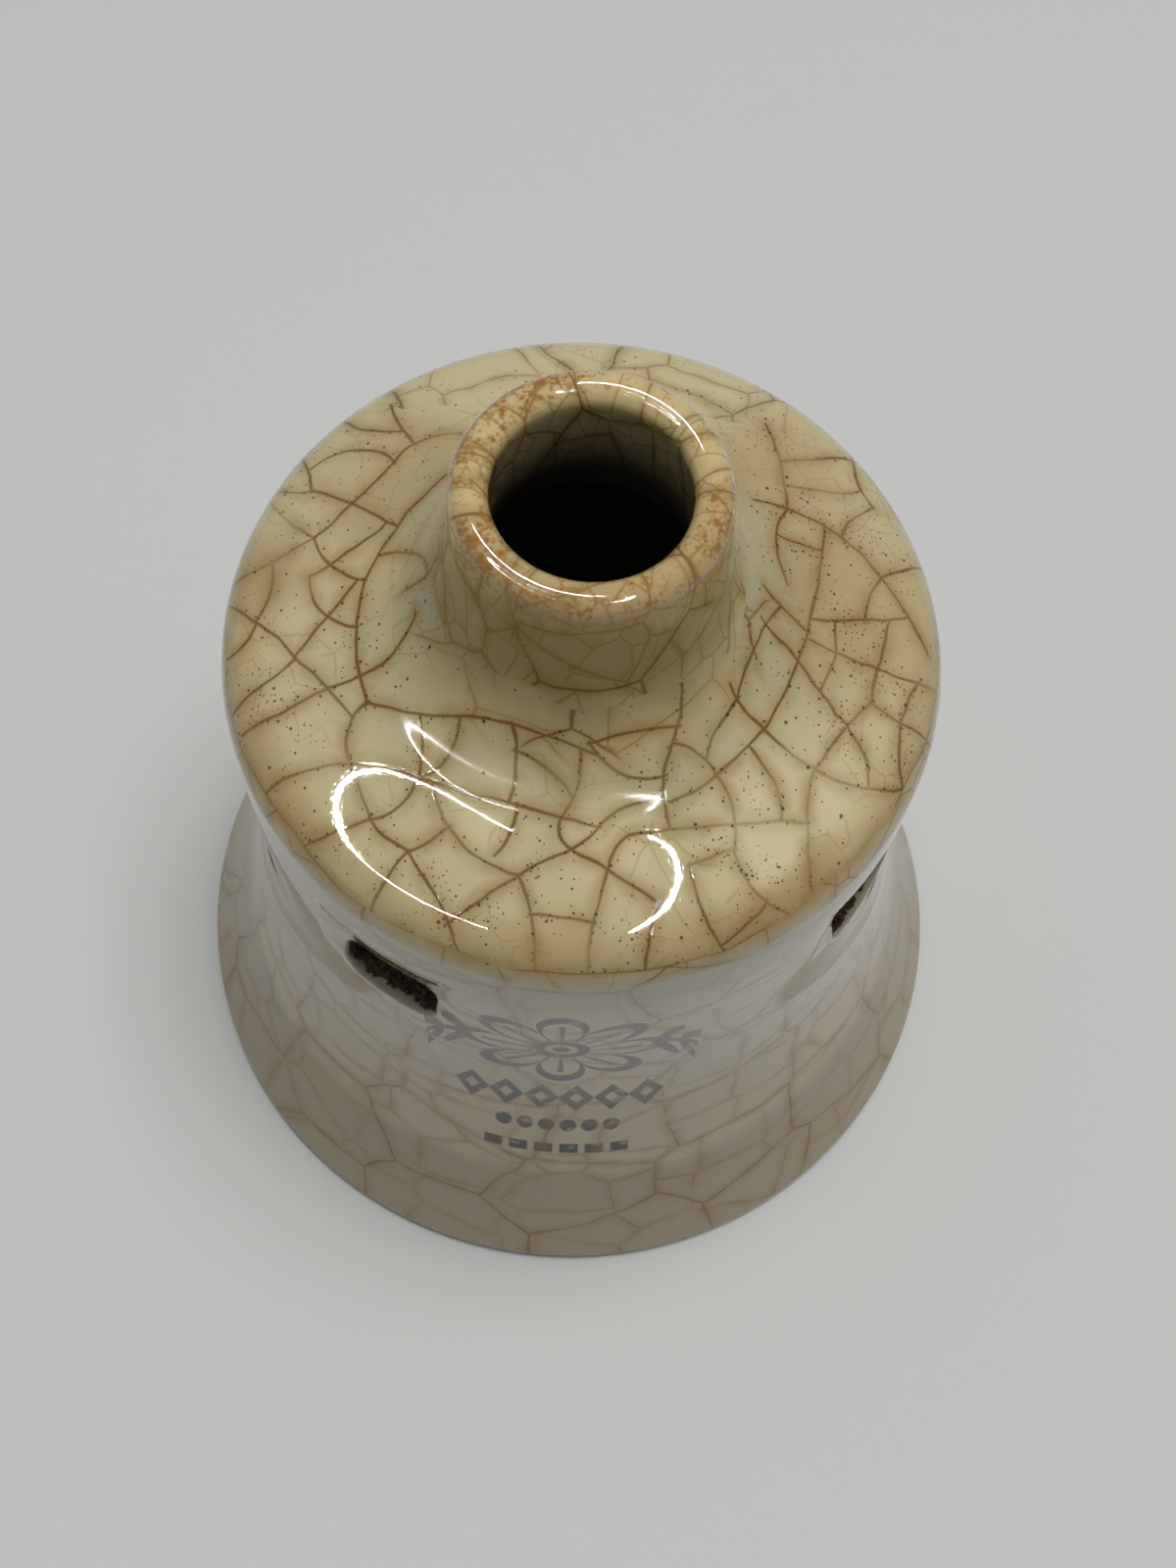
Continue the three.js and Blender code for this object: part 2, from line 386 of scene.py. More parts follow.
def pulled_stretch(first, first_pull, last_pull, last, steps):
    """Points of a curve between two pulled ends, without its last point."""
    handles = [Vector((*point, 0)) for point in (first, first_pull, last_pull, last)]
    return [Vector(point[:2]) for point in interpolate_bezier(*handles, steps + 1)[:-1]]


def straight_stretch(first, last, steps):
    return [first.lerp(last, i / steps) for i in range(steps)]


def neck_fillet_middle(sizes, shoulder, lip, lip_round):
    """Where the shoulder's and the neck's lines cross, both shifted out by the fillet."""
    slope_turn = QUARTER - sizes.shoulder_slope
    on_slope = polar(shoulder, sizes.shoulder_round + sizes.neck_fillet, slope_turn)
    along_slope = Vector((-math.cos(sizes.shoulder_slope), math.sin(sizes.shoulder_slope)))
    on_neck = polar(lip, lip_round + sizes.neck_fillet, sizes.neck_taper)
    along_neck = Vector((math.sin(sizes.neck_taper), -math.cos(sizes.neck_taper)))
    between = on_neck - on_slope
    reach = between.cross(along_neck) / along_slope.cross(along_neck)
    return on_slope + along_slope * reach


def domed_stretch(start, start_fall, end, end_fall, steps):
    """The shoulder's top, which falls more steeply at its edge than at the neck."""
    pull = (end - start).length / 3
    return pulled_stretch(
        start,
        start + pull * Vector((-math.cos(start_fall), math.sin(start_fall))),
        end - pull * Vector((-math.cos(end_fall), math.sin(end_fall))),
        end,
        steps)


def lower_stretches(sizes):
    """The outside of the foot, the bell and the side, by name."""
    foot = Vector((sizes.foot_radius - sizes.foot_round, sizes.foot_round))
    flare_start = polar(foot, sizes.foot_round, sizes.flare_angle)
    waist = Vector((sizes.waist_radius, sizes.waist_height))
    side_top = Vector((sizes.shoulder_radius, sizes.shoulder_height))
    return {
        "foot": round_stretch(
            foot, sizes.foot_round, -QUARTER, sizes.flare_angle, ROWS["foot"]),
        "bell": pulled_stretch(
            flare_start,
            polar(flare_start, sizes.flare_pull, sizes.flare_angle + QUARTER),
            waist - Vector((0, sizes.waist_pull)),
            waist,
            ROWS["bell"]),
        "side": pulled_stretch(
            waist,
            waist + Vector((0, sizes.shoulder_pull)),
            side_top - Vector((0, sizes.shoulder_pull)),
            side_top,
            ROWS["side"]),
    }


def upper_stretches(sizes):
    """The outside of the shoulder, the hollow, the neck and the lip, by name."""
    edge_radius = sizes.shoulder_radius - sizes.shoulder_round
    shoulder = Vector((edge_radius, sizes.shoulder_height))
    lip_round = sizes.wall / 2
    lip = Vector((sizes.lip_radius - lip_round, sizes.lip_height - lip_round))
    fillet = neck_fillet_middle(sizes, shoulder, lip, lip_round)
    outer_fall = sizes.shoulder_slope + sizes.shoulder_dome
    inner_fall = sizes.shoulder_slope - sizes.shoulder_dome
    edge_end = QUARTER - outer_fall
    hollow_start = 3 * QUARTER - inner_fall
    hollow_end = math.pi + sizes.neck_taper
    return {
        "edge": round_stretch(
            shoulder, sizes.shoulder_round, 0, edge_end, ROWS["edge"]),
        "top": domed_stretch(
            polar(shoulder, sizes.shoulder_round, edge_end),
            outer_fall,
            polar(fillet, sizes.neck_fillet, hollow_start),
            inner_fall,
            ROWS["top"]),
        "hollow": round_stretch(
            fillet, sizes.neck_fillet, hollow_start, hollow_end, ROWS["hollow"]),
        "neck": straight_stretch(
            polar(fillet, sizes.neck_fillet, hollow_end),
            polar(lip, lip_round, sizes.neck_taper),
            ROWS["neck"]),
        "lip": round_stretch(
            lip, lip_round, sizes.neck_taper, math.pi + sizes.neck_taper, 2 * LIP_STEPS),
    }


def behind(points, wall):
    """The same points, one wall further in, square to the run of the points."""
    shifted = []
    for i in range(1, len(points) - 1):
        way = (points[i + 1] - points[i - 1]).normalized()
        shifted.append(points[i] + wall * Vector((-way.y, way.x)))
    return shifted


class Section:
    """Closed section of the wall, with the place of each stretch along it."""

    def __init__(self, sizes):
        self.points = []
        self.starts = {}
        outside = {**lower_stretches(sizes), **upper_stretches(sizes)}
        for name, points in outside.items():
            self.add(name, points)
        body = self.points[self.starts["bell"]:self.starts["lip"] + 1]
        inside = behind(body, sizes.wall)
        self.add("inside", [p for p in reversed(inside) if p.y > 2.5 * sizes.foot_round])
        land_end = sizes.foot_radius - sizes.foot_round - sizes.land_width
        inner_edge = Vector((land_end, sizes.foot_round))
        self.add("foot_inside", round_stretch(
            inner_edge, sizes.foot_round, math.pi, 3 * QUARTER, FOOT_INSIDE_STEPS))
        self.add("land", straight_stretch(
            Vector((land_end, 0)), self.points[0], LAND_STEPS))
        self.paths = [0.0]
        for last, point in zip(self.points, self.points[1:]):
            self.paths.append(self.paths[-1] + (point - last).length)
        above_side = self.starts["lip"] - self.starts["edge"]
        self.outer_side = self.table(self.starts["bell"], self.starts["edge"])
        self.inner_side = self.table(
            self.starts["inside"] + above_side, self.starts["foot_inside"])

    def add(self, name, points):
        self.starts[name] = len(self.points)
        self.points += points

    def table(self, first, last):
        """Heights, radii and places along the section of a run of points, lowest first."""
        run = zip(self.points[first:last], self.paths[first:last])
        return np.array(sorted((point.y, point.x, path) for point, path in run)).T

    def side_row(self, row):
        """Height of a row of the side."""
        return self.points[self.starts["side"] + row].y

    def path_of(self, name):
        """How far along the section a stretch starts."""
        return self.paths[self.starts[name]]

    def path_at_radius(self, radius):
        """How far along the section the shoulder has a radius."""
        first, last = self.starts["edge"], self.starts["neck"]
        radii = [point.x for point in self.points[first:last]]
        return np.interp(-radius, [-r for r in radii], self.paths[first:last])

    def outside_at(self, height):
        """Radius and place along the section of the outside at a height of the side."""
        heights, radii, paths = self.outer_side
        return np.interp(height, heights, radii), np.interp(height, heights, paths)

    def inside_at(self, height):
        """The same of the inside."""
        heights, radii, paths = self.inner_side
        return np.interp(height, heights, radii), np.interp(height, heights, paths)


def spin_section(section):
    """The section turned once round the axis."""
    mesh = bmesh.new()
    path_layer = mesh.verts.layers.float.new("path")
    ring = []
    for point, path in zip(section.points, section.paths):
        vertex = mesh.verts.new((point.x, 0, point.y))
        vertex[path_layer] = path
        ring.append(vertex)
    edges = [mesh.edges.new(pair) for pair in zip(ring, ring[1:] + ring[:1])]
    bmesh.ops.spin(
        mesh, geom=ring + edges, cent=(0, 0, 0), axis=(0, 0, 1), dvec=(0, 0, 0),
        angle=TURN, steps=SPIN_STEPS, use_merge=True, use_duplicate=False)
    bmesh.ops.remove_doubles(mesh, verts=mesh.verts, dist=SAME_PLACE)
    return mesh


def bar_outline(half_width, half_tall, corner):
    """Middles and directions of a round-cornered bar's points, clockwise from its top."""
    corner_steps = 6
    straights = {0: 3, 1: 9, 2: 3, 3: 9}
    sides = [(1, 1), (1, -1), (-1, -1), (-1, 1)]
    middles = [
        Vector((across * (half_width - corner), up * (half_tall - corner)))
        for across, up in sides
    ]
    outline = []
    for index, middle in enumerate(middles):
        start = QUARTER * (1 - index)
        for step in range(corner_steps + 1):
            turn = start - QUARTER * step / corner_steps
            outline.append((middle, polar(Vector((0, 0)), 1, turn)))
        way = outline[-1][1]
        following = middles[(index + 1) % len(middles)]
        for step in range(straights[index]):
            share = (step + 1) / (straights[index] + 1)
            outline.append((middle.lerp(following, share), way))
    top_middle = straights[3] // 2 + 1
    return outline[-top_middle:] + outline[:-top_middle]


class Vent:
    """One vent's place and the outlines of its two mouths."""

    def __init__(self, sizes, vents, section, index):
        turn = vents.first_angle + TURN * index / vents.count
        self.section = section
        self.radial = Vector((math.cos(turn), math.sin(turn), 0))
        self.across = Vector((-math.sin(turn), math.cos(turn), 0))
        self.wall = sizes.wall
        self.vents = vents
        self.top = sizes.shoulder_height - vents.below_edge
        self.low = section.side_row(PATCH_FIRST_ROW)
        self.high = section.side_row(PATCH_LAST_ROW)
        self.centre = (self.low + self.high) / 2
        self.patch_slope = math.tan(TURN * PATCH_HALF_COLUMNS / SPIN_STEPS)
        self.outer_line = self.outline(self.tall_at(sizes.wall))
        self.inner_line = self.outline(self.tall_at(0))
        self.halfway = section.outside_at(self.centre)[0] - sizes.wall / 2

    def tall_at(self, depth):
        """Height of the opening at a distance outwards from the wall's inner face."""
        fall = self.vents.lip_fall
        reach = depth + self.vents.tall * math.sin(fall)
        return self.vents.tall * math.cos(fall) + reach * math.tan(fall)

    def outline(self, tall):
        middle = Vector((0, self.top - tall / 2))
        bar = bar_outline(self.vents.width / 2, tall / 2, self.vents.corner)
        return [(point + middle, way) for point, way in bar]

    def flat(self, point):
        """A point of the pot as distance across, distance out and height."""
        return Vector((point.dot(self.across), point.dot(self.radial), point.z))

    def place(self, flat, radius):
        """The point at a radius whose distance across and height are given."""
        out = math.sqrt(radius * radius - flat.x * flat.x)
        return self.radial * out + self.across * flat.x + Vector((0, 0, flat.y))

    def holds(self, face):
        """True for a face of the side, outside or inside, that lies in the vent's patch."""
        flat = self.flat(face.calc_center_median())
        if not self.low < flat.z < self.high:
            return False
        return flat.y > 2 * self.vents.width and abs(flat.x) < self.patch_slope * flat.y

    def round_order(self, vertex):
        """Turn of a vertex round the vent, clockwise from straight above."""
        flat = self.flat(vertex.co)
        slack = 0.001
        return (math.atan2(flat.x, flat.z - self.centre) + slack) % TURN

    def roll(self, way):
        """Radius of the rolled outer edge, sharp above and soft below."""
        down = ((1 - way.y) / 2) ** 3
        return self.vents.sharp_edge + (self.vents.soft_edge - self.vents.sharp_edge) * down

    def dent(self, flat):
        """Depth of the dent over the upper edge. It fades out upwards, sideways and below."""
        above = (self.high - flat.y) / (self.high - self.top)
        below = 1 - (self.top - flat.y) / self.vents.tall
        half_width = self.vents.width / 2
        beside = (self.patch_slope * self.halfway - abs(flat.x)) / half_width
        share = max(0.0, min(above, below, beside, 1.0))
        return self.vents.dent * share * share * (3 - 2 * share)

    def mouth(self, outside, border, share, roll_turn):
        """Places of one ring of a mouth.

        share runs from 0 at the patch border to 1 at the start of the rolled edge, and
        roll_turn from 0 on the surface to a quarter turn in the cut.
        """
        line = self.outer_line if outside else self.inner_line
        radius_at = self.section.outside_at if outside else self.section.inside_at
        places = []
        for (middle, way), start in zip(line, border):
            roll = self.roll(way) if outside else self.vents.inner_edge
            reach = self.vents.corner + roll * (1 - math.sin(roll_turn))
            flat = start.lerp(middle + way * reach, share)
            sunk = roll * (1 - math.cos(roll_turn))
            shift = -sunk - self.dent(flat) if outside else sunk
            places.append(self.place(flat, radius_at(flat.y)[0] + shift))
        return places

    def floor(self):
        """Pairs of places at the outer and the inner end of the lower lip."""
        middles = [middle for middle, _ in self.outer_line]
        outer = self.mouth(True, middles, 1, 0.5 * QUARTER)
        inner = self.mouth(False, middles, 1, QUARTER)
        ways = [way for _, way in self.outer_line]
        return [pair for *pair, way in zip(outer, inner, ways) if way.y < -0.2]

    def rings(self, border, inner_border):
        """Places and soiling of the rings from the outer to the inner patch border."""
        flats, rolls, through = 5, 5, 5
        inner_rolls, inner_flats = 3, 4
        rings = [(self.mouth(True, border, i / flats, 0), 0.0) for i in range(1, flats + 1)]
        for i in range(1, rolls + 1):
            soiling = 0.35 + 0.45 * i / rolls
            rings.append((self.mouth(True, border, 1, QUARTER * i / rolls), soiling))
        outer_rim = rings[-1][0]
        inner_rim = self.mouth(False, inner_border, 1, QUARTER)
        for i in range(1, through):
            rings.append(([a.lerp(b, i / through) for a, b in zip(outer_rim, inner_rim)], 1.0))
        for i in range(inner_rolls):
            turn = QUARTER * (1 - i / inner_rolls)
            rings.append((self.mouth(False, inner_border, 1, turn), 1.0))
        for i in range(inner_flats):
            rings.append((self.mouth(False, inner_border, 1 - i / inner_flats, 0), 0.6))
        return rings


def extrude_ring(mesh, ring, places):
    """Extrudes a closed ring of vertices and puts each new one in its place."""
    edges = [mesh.edges.get(pair) for pair in zip(ring, ring[1:] + ring[:1])]
    made = bmesh.ops.extrude_edge_only(mesh, edges=edges)["geom"]
    fresh = {item for item in made if isinstance(item, bmesh.types.BMVert)}
    moved = []
    for old, place in zip(ring, places):
        vertex = next(e.other_vert(old) for e in old.link_edges if e.other_vert(old) in fresh)
        vertex.co = place
        moved.append(vertex)
    return moved


def cut_vent(mesh, vent, layers):
    """Opens one vent through the wall and rolls its edges."""
    patch = [face for face in mesh.faces if vent.holds(face)]
    near = {vertex for face in patch for vertex in face.verts}
    bmesh.ops.delete(mesh, geom=patch, context="FACES")
    border = [v for v in near if v.is_valid and any(e.is_boundary for e in v.link_edges)]
    border.sort(key=vent.round_order)
    outer = [v for v in border if v.co.xy.length > vent.halfway]
    inner = [v for v in border if v.co.xy.length <= vent.halfway]

    flats = [[Vector((vent.flat(v.co).x, v.co.z)) for v in side] for side in (outer, inner)]
    rings = vent.rings(*flats)
    rings.append(([v.co.copy() for v in inner], 0.0))
    ring = outer
    for places, soiling in rings:
        ring = extrude_ring(mesh, ring, places)
        for vertex in ring:
            outside = vertex.co.xy.length > vent.halfway
            at = vent.section.outside_at if outside else vent.section.inside_at
            vertex[layers["path"]] = at(vertex.co.z)[1]
            vertex[layers["soiling"]] = soiling
    bmesh.ops.remove_doubles(mesh, verts=ring + inner, dist=10 * SAME_PLACE)


def settle_unevenly(mesh, sizes):
    """Leans the pot a little and presses shallow dents into it, never outwards."""
    ripple = 45.0
    even_below = 6 * MM
    for vertex in mesh.verts:
        co = vertex.co
        rise = min(1.0, co.z / sizes.shoulder_height)
        co.x -= sizes.lean * rise * rise * (3 - 2 * rise)
        wave = noise.noise(Vector((co.x, co.y, 0.6 * co.z)) * ripple)
        pressed = sizes.unevenness * (0.5 + 0.5 * wave) * min(1.0, co.z / even_below)
        co.xy *= 1 - pressed / co.xy.length


def add_maps(mesh, section, layers):
    """Maps for the material: round the pot and along its wall, and the spread-out top."""
    wall_map = mesh.loops.layers.uv.new("wall_map")
    top_map = mesh.loops.layers.uv.new("top_map")
    whole = section.paths[-1] + (section.points[0] - section.points[-1]).length
    slope_path = section.path_of("top")
    slope_radius = section.points[section.starts["top"]].x
    for face in mesh.faces:
        face.smooth = True
        centre = face.calc_center_median()
        middle_turn = (math.atan2(centre.y, centre.x) - FRONT + math.pi) % TURN - math.pi
        paths = [loop.vert[layers["path"]] for loop in face.loops]
        for loop, path in zip(face.loops, paths):
            co = loop.vert.co
            turn = math.atan2(co.y, co.x) - FRONT
            turn = middle_turn + (turn - middle_turn + math.pi) % TURN - math.pi
            if max(paths) - path > whole / 2:
                path += whole
            loop[wall_map].uv = (turn / TURN, path)
            spread = max(0.0, slope_radius - (path - slope_path))
            loop[top_map].uv = (spread * math.sin(turn), -spread * math.cos(turn))


def finish_mesh(mesh, name, material):
    """Makes a piece of the object from a bmesh, riding on its body."""
    data = bpy.data.meshes.new(name)
    mesh.to_mesh(data)
    mesh.free()
    data.materials.append(material)
    piece = bpy.data.objects.new(name, data)
    bpy.context.scene.collection.objects.link(piece)
    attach(piece, "root")
    return piece


def feed(value, socket):
    """Gives a socket a number, a vector or another node's result."""
    if isinstance(value, Wire):
        value.tree.links.new(value.socket, socket)
    else:
        socket.default_value = value


def add_node(tree, kind, inputs=None, **settings):
    node = tree.nodes.new(kind)
    for name, value in settings.items():
        setattr(node, name, value)
    for name, value in (inputs or {}).items():
        feed(value, node.inputs[name])
    return node


class Wire:
    """A value on its way through a node tree. Arithmetic on it makes Math nodes."""

    def __init__(self, tree, socket):
        self.tree = tree
        self.socket = socket

    def math(self, operation, *others):
        node = add_node(self.tree, "ShaderNodeMath", operation=operation)
        for socket, value in zip(node.inputs, (self, *others)):
            feed(value, socket)
        return Wire(self.tree, node.outputs[0])

    def __add__(self, other):
        return self.math("ADD", other)

    def __sub__(self, other):
        return self.math("SUBTRACT", other)

    def __rsub__(self, other):
        return self.math("MULTIPLY_ADD", -1.0, other)

    def __mul__(self, other):
        return self.math("MULTIPLY", other)

    def __truediv__(self, other):
        return self.math("DIVIDE", other)

    def __abs__(self):
        return self.math("ABSOLUTE")

    __radd__ = __add__
    __rmul__ = __mul__

    def most(self, other):
        return self.math("MAXIMUM", other)

    def least(self, other):
        return self.math("MINIMUM", other)

    def above(self, level):
        return self.math("GREATER_THAN", level)

    def below(self, level):
        return self.math("LESS_THAN", level)

    def fade(self, start, end):
        """Rises smoothly from 0 at start to 1 at end, which may be the lower of the two."""
        node = add_node(
            self.tree, "ShaderNodeMapRange",
            {"Value": self, "From Min": start, "From Max": end},
            interpolation_type="SMOOTHSTEP")
        return Wire(self.tree, node.outputs["Result"])

    def between(self, low, high):
        """Reads 0 as low and 1 as high."""
        node = add_node(
            self.tree, "ShaderNodeMapRange", {"Value": self, "To Min": low, "To Max": high})
        return Wire(self.tree, node.outputs["Result"])

    def arrow(self, operation, *others, output="Vector"):
        """Vector arithmetic."""
        node = add_node(self.tree, "ShaderNodeVectorMath", operation=operation)
        for socket, value in zip(node.inputs, (self, *others)):
            feed(value, socket)
        return Wire(self.tree, node.outputs[output])

    def scaled(self, factor):
        node = add_node(
            self.tree, "ShaderNodeVectorMath", {"Vector": self, "Scale": factor},
            operation="SCALE")
        return Wire(self.tree, node.outputs["Vector"])

    def parts(self):
        node = add_node(self.tree, "ShaderNodeSeparateXYZ", {"Vector": self})
        return [Wire(self.tree, socket) for socket in node.outputs]

    def mixed(self, other, share, kind="RGBA"):
        return mix_of(self.tree, self, other, share, kind)


def mix_of(tree, first, second, share, kind="RGBA"):
    """One colour or vector turned into another one by a share."""
    node = add_node(tree, "ShaderNodeMix", data_type=kind)
    sockets = [socket for socket in node.inputs if socket.enabled]
    for value, socket in zip((share, first, second), sockets):
        feed(value, socket)
    return Wire(tree, next(socket for socket in node.outputs if socket.enabled))


def most_of(wires):
    """The largest of several values."""
    return functools.reduce(Wire.most, wires)


def arrow_of(tree, x, y, z=0.0):
    node = add_node(tree, "ShaderNodeCombineXYZ", {"X": x, "Y": y, "Z": z})
    return Wire(tree, node.outputs[0])


def clouds(tree, place, size, detail=2.0, flat=False, output="Fac"):
    """Soft noise whose patches are about size across."""
    node = add_node(
        tree, "ShaderNodeTexNoise", {"Vector": place, "Scale": 1 / size, "Detail": detail},
        noise_dimensions="2D" if flat else "3D")
    return Wire(tree, node.outputs[output])


def cells(tree, place, size, feature, output="Distance", loose=1.0):
    """Cells about size across: the distance to their edge or middle, or their colour."""
    node = add_node(
        tree, "ShaderNodeTexVoronoi",
        {"Vector": place, "Scale": 1 / size, "Randomness": loose},
        voronoi_dimensions="2D", feature=feature)
    wire = Wire(tree, node.outputs[output])
    return wire * size if output == "Distance" else wire


def in_millimetres(tree, kind, name=None):
    """Where a point lies on one of the piece's maps or in the object, in millimetres."""
    if kind == "map":
        node = add_node(tree, "ShaderNodeUVMap", uv_map=name)
        return Wire(tree, node.outputs["UV"]).scaled(1 / MM)
    node = add_node(tree, "ShaderNodeTexCoord")
    return Wire(tree, node.outputs["Object"]).scaled(1 / MM)


def new_group(name, inputs=(), outputs=()):
    """An empty node group with named sockets, given as (name, socket type)."""
    group = bpy.data.node_groups.new(name, "ShaderNodeTree")
    for label, kind in inputs:
        group.interface.new_socket(label, in_out="INPUT", socket_type=kind)
    for label, kind in outputs:
        group.interface.new_socket(label, in_out="OUTPUT", socket_type=kind)
    source = add_node(group, "NodeGroupInput")
    wires = {label: Wire(group, source.outputs[label]) for label, kind in inputs}
    return group, wires


def close_group(group, results):
    """Connects the results of a group and sets its nodes out in columns."""
    add_node(group, "NodeGroupOutput", results)
    set_out(group)


def use_group(tree, group, inputs=None):
    """The outputs of a group placed in a tree, by name."""
    node = add_node(tree, "ShaderNodeGroup", node_tree=group)
    for name, value in (inputs or {}).items():
        feed(value, node.inputs[name])
    return {socket.name: Wire(tree, socket) for socket in node.outputs}


def set_out(tree):
    """Puts each node to the right of the nodes that feed it."""
    column = {}
    for node in tree.nodes:
        feeders = [link.from_node for socket in node.inputs for link in socket.links]
        column[node] = 1 + max((column.get(feeder, 0) for feeder in feeders), default=0)
    filled = {}
    for node, place in column.items():
        row = filled.get(place, 0)
        node.location = (220 * place, -180 * row)
        filled[place] = row + 1


NUMBER = "NodeSocketFloat"
ARROW = "NodeSocketVector"
OUT_OF_REACH = 20.0


def crack_arc_group():
    """Distance from the nearest crack so far or from one more, which is an arc."""
    group, given = new_group(
        "crack_arc",
        [("Nearest", NUMBER), ("Place", ARROW), ("Middle", ARROW), ("Radius", NUMBER),
         ("Top", ARROW), ("Reach", NUMBER)],
        [("Nearest", NUMBER)])
    from_middle = given["Place"].arrow("DISTANCE", given["Middle"], output="Value")
    from_top = given["Place"].arrow("DISTANCE", given["Top"], output="Value")
    away = abs(from_middle - given["Radius"]).most(from_top - given["Reach"])
    close_group(group, {"Nearest": given["Nearest"].least(away)})
    return group


def crack_arc_inputs(start, halfway, end):
    """The circle of a crack, with the top of its bow and how far it reaches from there."""
    start, halfway, end = Vector(start), Vector(halfway), Vector(end)
    half = (end - start).length / 2
    way = (end - start).normalized()
    left = Vector((-way.y, way.x))
    bow = left.dot(halfway - start)
    bow = math.copysign(max(abs(bow), LEAST_BOW), bow)
    radius = (half * half + bow * bow) / (2 * abs(bow))
    top = (start + end) / 2 + left * bow
    middle = top - left * math.copysign(radius, bow)
    return {
        "Middle": (*middle, 0), "Radius": radius,
        "Top": (*top, 0), "Reach": math.hypot(half, bow) + 0.1,
    }


def shoulder_cracks(tree, place):
    """Distance from the nearest of the listed cracks."""
    arc = crack_arc_group()
    nearest = 50.0
    for crack in SHOULDER_CRACKS:
        inputs = {"Nearest": nearest, "Place": place, **crack_arc_inputs(*crack)}
        nearest = use_group(tree, arc, inputs)["Nearest"]
    return nearest


class CrazingPlan:
    """Where on the pot each drawing of the crazing lies.

    The shoulder is drawn on its spread-out surface, and the side, the neck and the inside
    round the pot. Where the first two of these drawings meet, a crack runs along most of
    the join. Round the pot, the back is a second drawing, joined at both sides.
    """

    def __init__(self, group, section, sizes, crackle):
        turn, self.path, _ = in_millimetres(group, "map", "wall_map").parts()
        turn = turn * MM
        self.spread = in_millimetres(group, "map", "top_map")

        waver = clouds(group, in_millimetres(group, "object"), 8.0, 0.5) - 0.5
        ring_path = (section.path_of("edge") + crackle.shoulder_ring) / MM
        neck_path = section.path_at_radius(crackle.neck_ring) / MM
        self.from_ring = self.path - (ring_path + waver * 3.0)
        from_neck = self.path - (neck_path + waver * 9.0)
        self.on_top = self.from_ring.above(0.0) * from_neck.below(0.0)
        self.on_neck = from_neck.above(0.0)

        side_turn = 0.25 + waver * 0.06
        at_back = abs(turn).above(side_turn)
        turned = turn - turn.math("SIGN") * at_back * 0.5
        side_girth = 1.1 * TURN * sizes.waist_radius / MM
        neck_girth = 1.2 * TURN * sizes.lip_radius / MM
        girth = self.on_neck.between(side_girth, neck_girth)
        rise = self.on_neck.between(1.25, 0.9)
        far_away = 400.0
        rolled = arrow_of(group, turned * girth, self.path * rise + at_back * far_away)
        self.place = rolled.mixed(self.spread, self.on_top, "VECTOR")
        self.side_join = abs(abs(turn) - side_turn) * girth + self.on_top * OUT_OF_REACH


def wandering(group, plan, crackle):
    """The plan's places shaken a little, and also bent by the wandering of young cracks."""
    drift = clouds(group, plan.place, 9.0, 2.0, True, "Color")
    ripple = clouds(group, plan.place, 3.2, 1.0, True, "Color")
    drift, ripple = (noise_of.arrow("SUBTRACT", (0.5, 0.5, 0.5)) for noise_of in (drift, ripple))
    shaken = plan.place.arrow("ADD", ripple.scaled(plan.on_top.between(0.25, 0.5)))
    reach = plan.on_top.between(0.6, 1.0) * crackle.bend
    return shaken, shaken.arrow("ADD", drift.scaled(reach))


def crack_distances(group, plan, crackle):
    """Distances from the listed cracks and from the edges of large, middle and small cells."""
    shaken, bent = wandering(group, plan, crackle)
    listed_cracks = shoulder_cracks(group, shaken) + (1.0 - plan.on_top) * OUT_OF_REACH

    loose = plan.on_top.most(plan.on_neck).between(0.6, 0.9)
    large_edge = cells(group, bent, crackle.large, "DISTANCE_TO_EDGE", loose=loose)
    large_cell = cells(group, bent, crackle.large, "F1", "Color", loose=loose)
    in_large = bent.arrow("ADD", large_cell.scaled(60.0))
    middle_edge = cells(group, in_large, crackle.middle, "DISTANCE_TO_EDGE", loose=loose)
    middle_cell = cells(group, in_large, crackle.middle, "F1", "Color", loose=loose)
    in_middle = in_large.arrow("ADD", middle_cell.scaled(40.0))
    small_edge = cells(group, in_middle, crackle.small, "DISTANCE_TO_EDGE", loose=0.9)

    # The listed cracks leave out the back of the shoulder and the foot of the neck
    at_back = plan.spread.parts()[1].fade(18.5, 19.0) * plan.on_top
    listed = plan.on_top * (1.0 - at_back)
    by_neck = plan.spread.arrow("LENGTH", output="Value").fade(17.0, 11.5)
    far_listed = (listed * (1.0 - by_neck)).math("POWER", 2.0) * 2.5
    return listed_cracks, large_edge + far_listed, middle_edge + far_listed, small_edge


